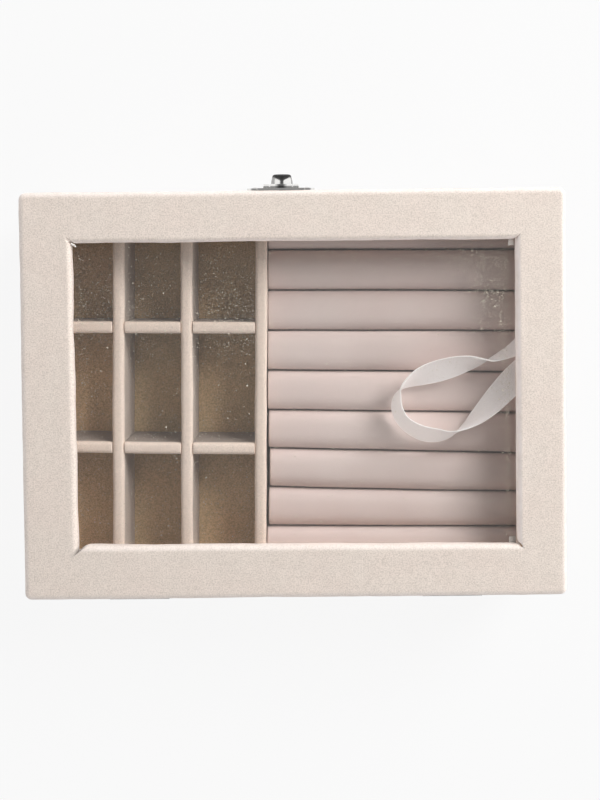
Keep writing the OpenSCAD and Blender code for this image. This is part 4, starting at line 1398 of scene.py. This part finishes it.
@material_named("floor")
def stage_material(tree, box):
    """Dull paper that keeps the shadows and otherwise shows as near white."""
    shader = tree.nodes["Principled BSDF"].outputs[0]
    white = add_node(tree, "ShaderNodeEmission", {0: WHITE, 1: 1.0}).outputs[0]
    share = sum_of(tree, background_rays(tree), 0.9, "MULTIPLY")
    fill_inputs(tree, tree.nodes["Material Output"], {"Surface": mix_shaders(tree, share, shader, white)})
    return {"Base Color": opaque(box.stage.floor), "Roughness": 1.0, "Specular IOR Level": 0.0}


def make_floor(box):
    """A wide square under the box."""
    plane = bpy.data.meshes.new("floor")
    under = CAD_BOX[0][2]
    plane.from_pydata([(x * FLOOR_REACH, y * FLOOR_REACH, under) for x, y in ((-1, -1), (1, -1), (1, 1), (-1, 1))],
                      [], [(0, 1, 2, 3)])
    floor = bpy.data.objects.new("floor", plane)
    bpy.context.scene.collection.objects.link(floor)
    plane.materials.append(stage_material(box))


def make_world(s):
    """Even light from all round. Metal and glass see it white, with a dimmer ceiling."""
    world = bpy.data.worlds.new("studio")
    bpy.context.scene.world = world
    world.use_nodes = True
    tree = world.node_tree
    dim = tree.nodes["Background"]
    fill_inputs(tree, dim, {0: WHITE, 1: s.sky})
    way = add_node(tree, "ShaderNodeTexCoord").outputs["Generated"]
    rise = add_node(tree, "ShaderNodeSeparateXYZ", {0: way}).outputs[2]
    ceiling = remap(tree, rise, 0.45, 0.85, 1.0, s.ceiling)
    seen = add_node(tree, "ShaderNodeLightPath").outputs["Is Camera Ray"]
    white = add_node(tree, "ShaderNodeBackground", {0: WHITE, 1: sum_of(tree, seen, ceiling, "MAXIMUM")})
    both = mix_shaders(tree, background_rays(tree), dim.outputs[0], white.outputs[0])
    fill_inputs(tree, tree.nodes["World Output"], {"Surface": both})


def make_lamps(s):
    """Round soft lamps that face the box and don't show in metal and glass."""
    for name, strength, turn, rise, far, width in LAMPS:
        lamp = bpy.data.lights.new(name, "AREA")
        lamp.shape, lamp.size, lamp.energy = "DISK", width, strength * s.key * math.pi * far ** 2
        soft = bpy.data.objects.new(name, lamp)
        turn, rise = math.radians(turn), math.radians(rise)
        way = Vector((math.cos(rise) * math.cos(turn), math.cos(rise) * math.sin(turn), math.sin(rise)))
        soft.location = way * far + LAMP_AIM
        soft.rotation_euler = way.to_track_quat("Z", "Y").to_euler()
        soft.visible_transmission = soft.visible_glossy = False
        bpy.context.scene.collection.objects.link(soft)


def make_camera(scene):
    """The camera above the box."""
    camera = bpy.data.objects.new("camera", bpy.data.cameras.new("camera"))
    camera.data.lens, camera.data.sensor_width = LENS, SENSOR
    camera.data.shift_x, camera.data.shift_y = SHIFT
    camera.location = CAMERA_PLACE
    camera.rotation_euler = np.radians(CAMERA_TURN)
    scene.collection.objects.link(camera)
    scene.camera = camera


class RINGBOX_OT_stage(Operator):
    """Make the floor, the lights and the camera"""

    bl_idname = "ringbox.stage"
    bl_label = "Stage"

    def execute(self, context):
        box = context.scene.ring_box
        make_floor(box)
        make_world(box.stage)
        make_lamps(box.stage)
        make_camera(context.scene)
        context.scene.view_settings.view_transform = "Standard"
        return {"FINISHED"}


# ---- add-on ----

MAKERS = (RINGBOX_OT_lid_cover, RINGBOX_OT_body_cover, RINGBOX_OT_frame_boards, RINGBOX_OT_linings,
          RINGBOX_OT_dividers, RINGBOX_OT_rolls, RINGBOX_OT_ribbon, RINGBOX_OT_glass, RINGBOX_OT_window_bits,
          RINGBOX_OT_tongue, RINGBOX_OT_metalwork, RINGBOX_OT_boards, RINGBOX_OT_stage)


class RINGBOX_PT_panel(Panel):
    """Lists the box's pieces and their settings"""

    bl_idname = "RINGBOX_PT_panel"
    bl_label = "Ring box"
    bl_space_type = "VIEW_3D"
    bl_region_type = "UI"
    bl_category = "Ring box"

    def draw(self, context):
        for maker in MAKERS:
            self.layout.operator(maker.bl_idname)
        for part in RingBoxSettings.__annotations__:
            settings = getattr(context.scene.ring_box, part)
            area = self.layout.box()
            area.label(text=type(settings).__doc__)
            for name in type(settings).__annotations__:
                area.prop(settings, name)


CLASSES = (CoverSettings, LiningSettings, RollSettings, RibbonSettings, GlassSettings, MetalSettings, BoardSettings,
           StageSettings, RingBoxSettings, *MAKERS, RINGBOX_PT_panel)


def register():
    for each in CLASSES:
        bpy.utils.register_class(each)
    bpy.types.Scene.ring_box = PointerProperty(type=RingBoxSettings)


def unregister():
    del bpy.types.Scene.ring_box
    for each in reversed(CLASSES):
        bpy.utils.unregister_class(each)


def main():
    register()
    for maker in MAKERS:
        group, name = maker.bl_idname.split(".")
        getattr(getattr(bpy.ops, group), name)()


if __name__ == "__main__":
    main()
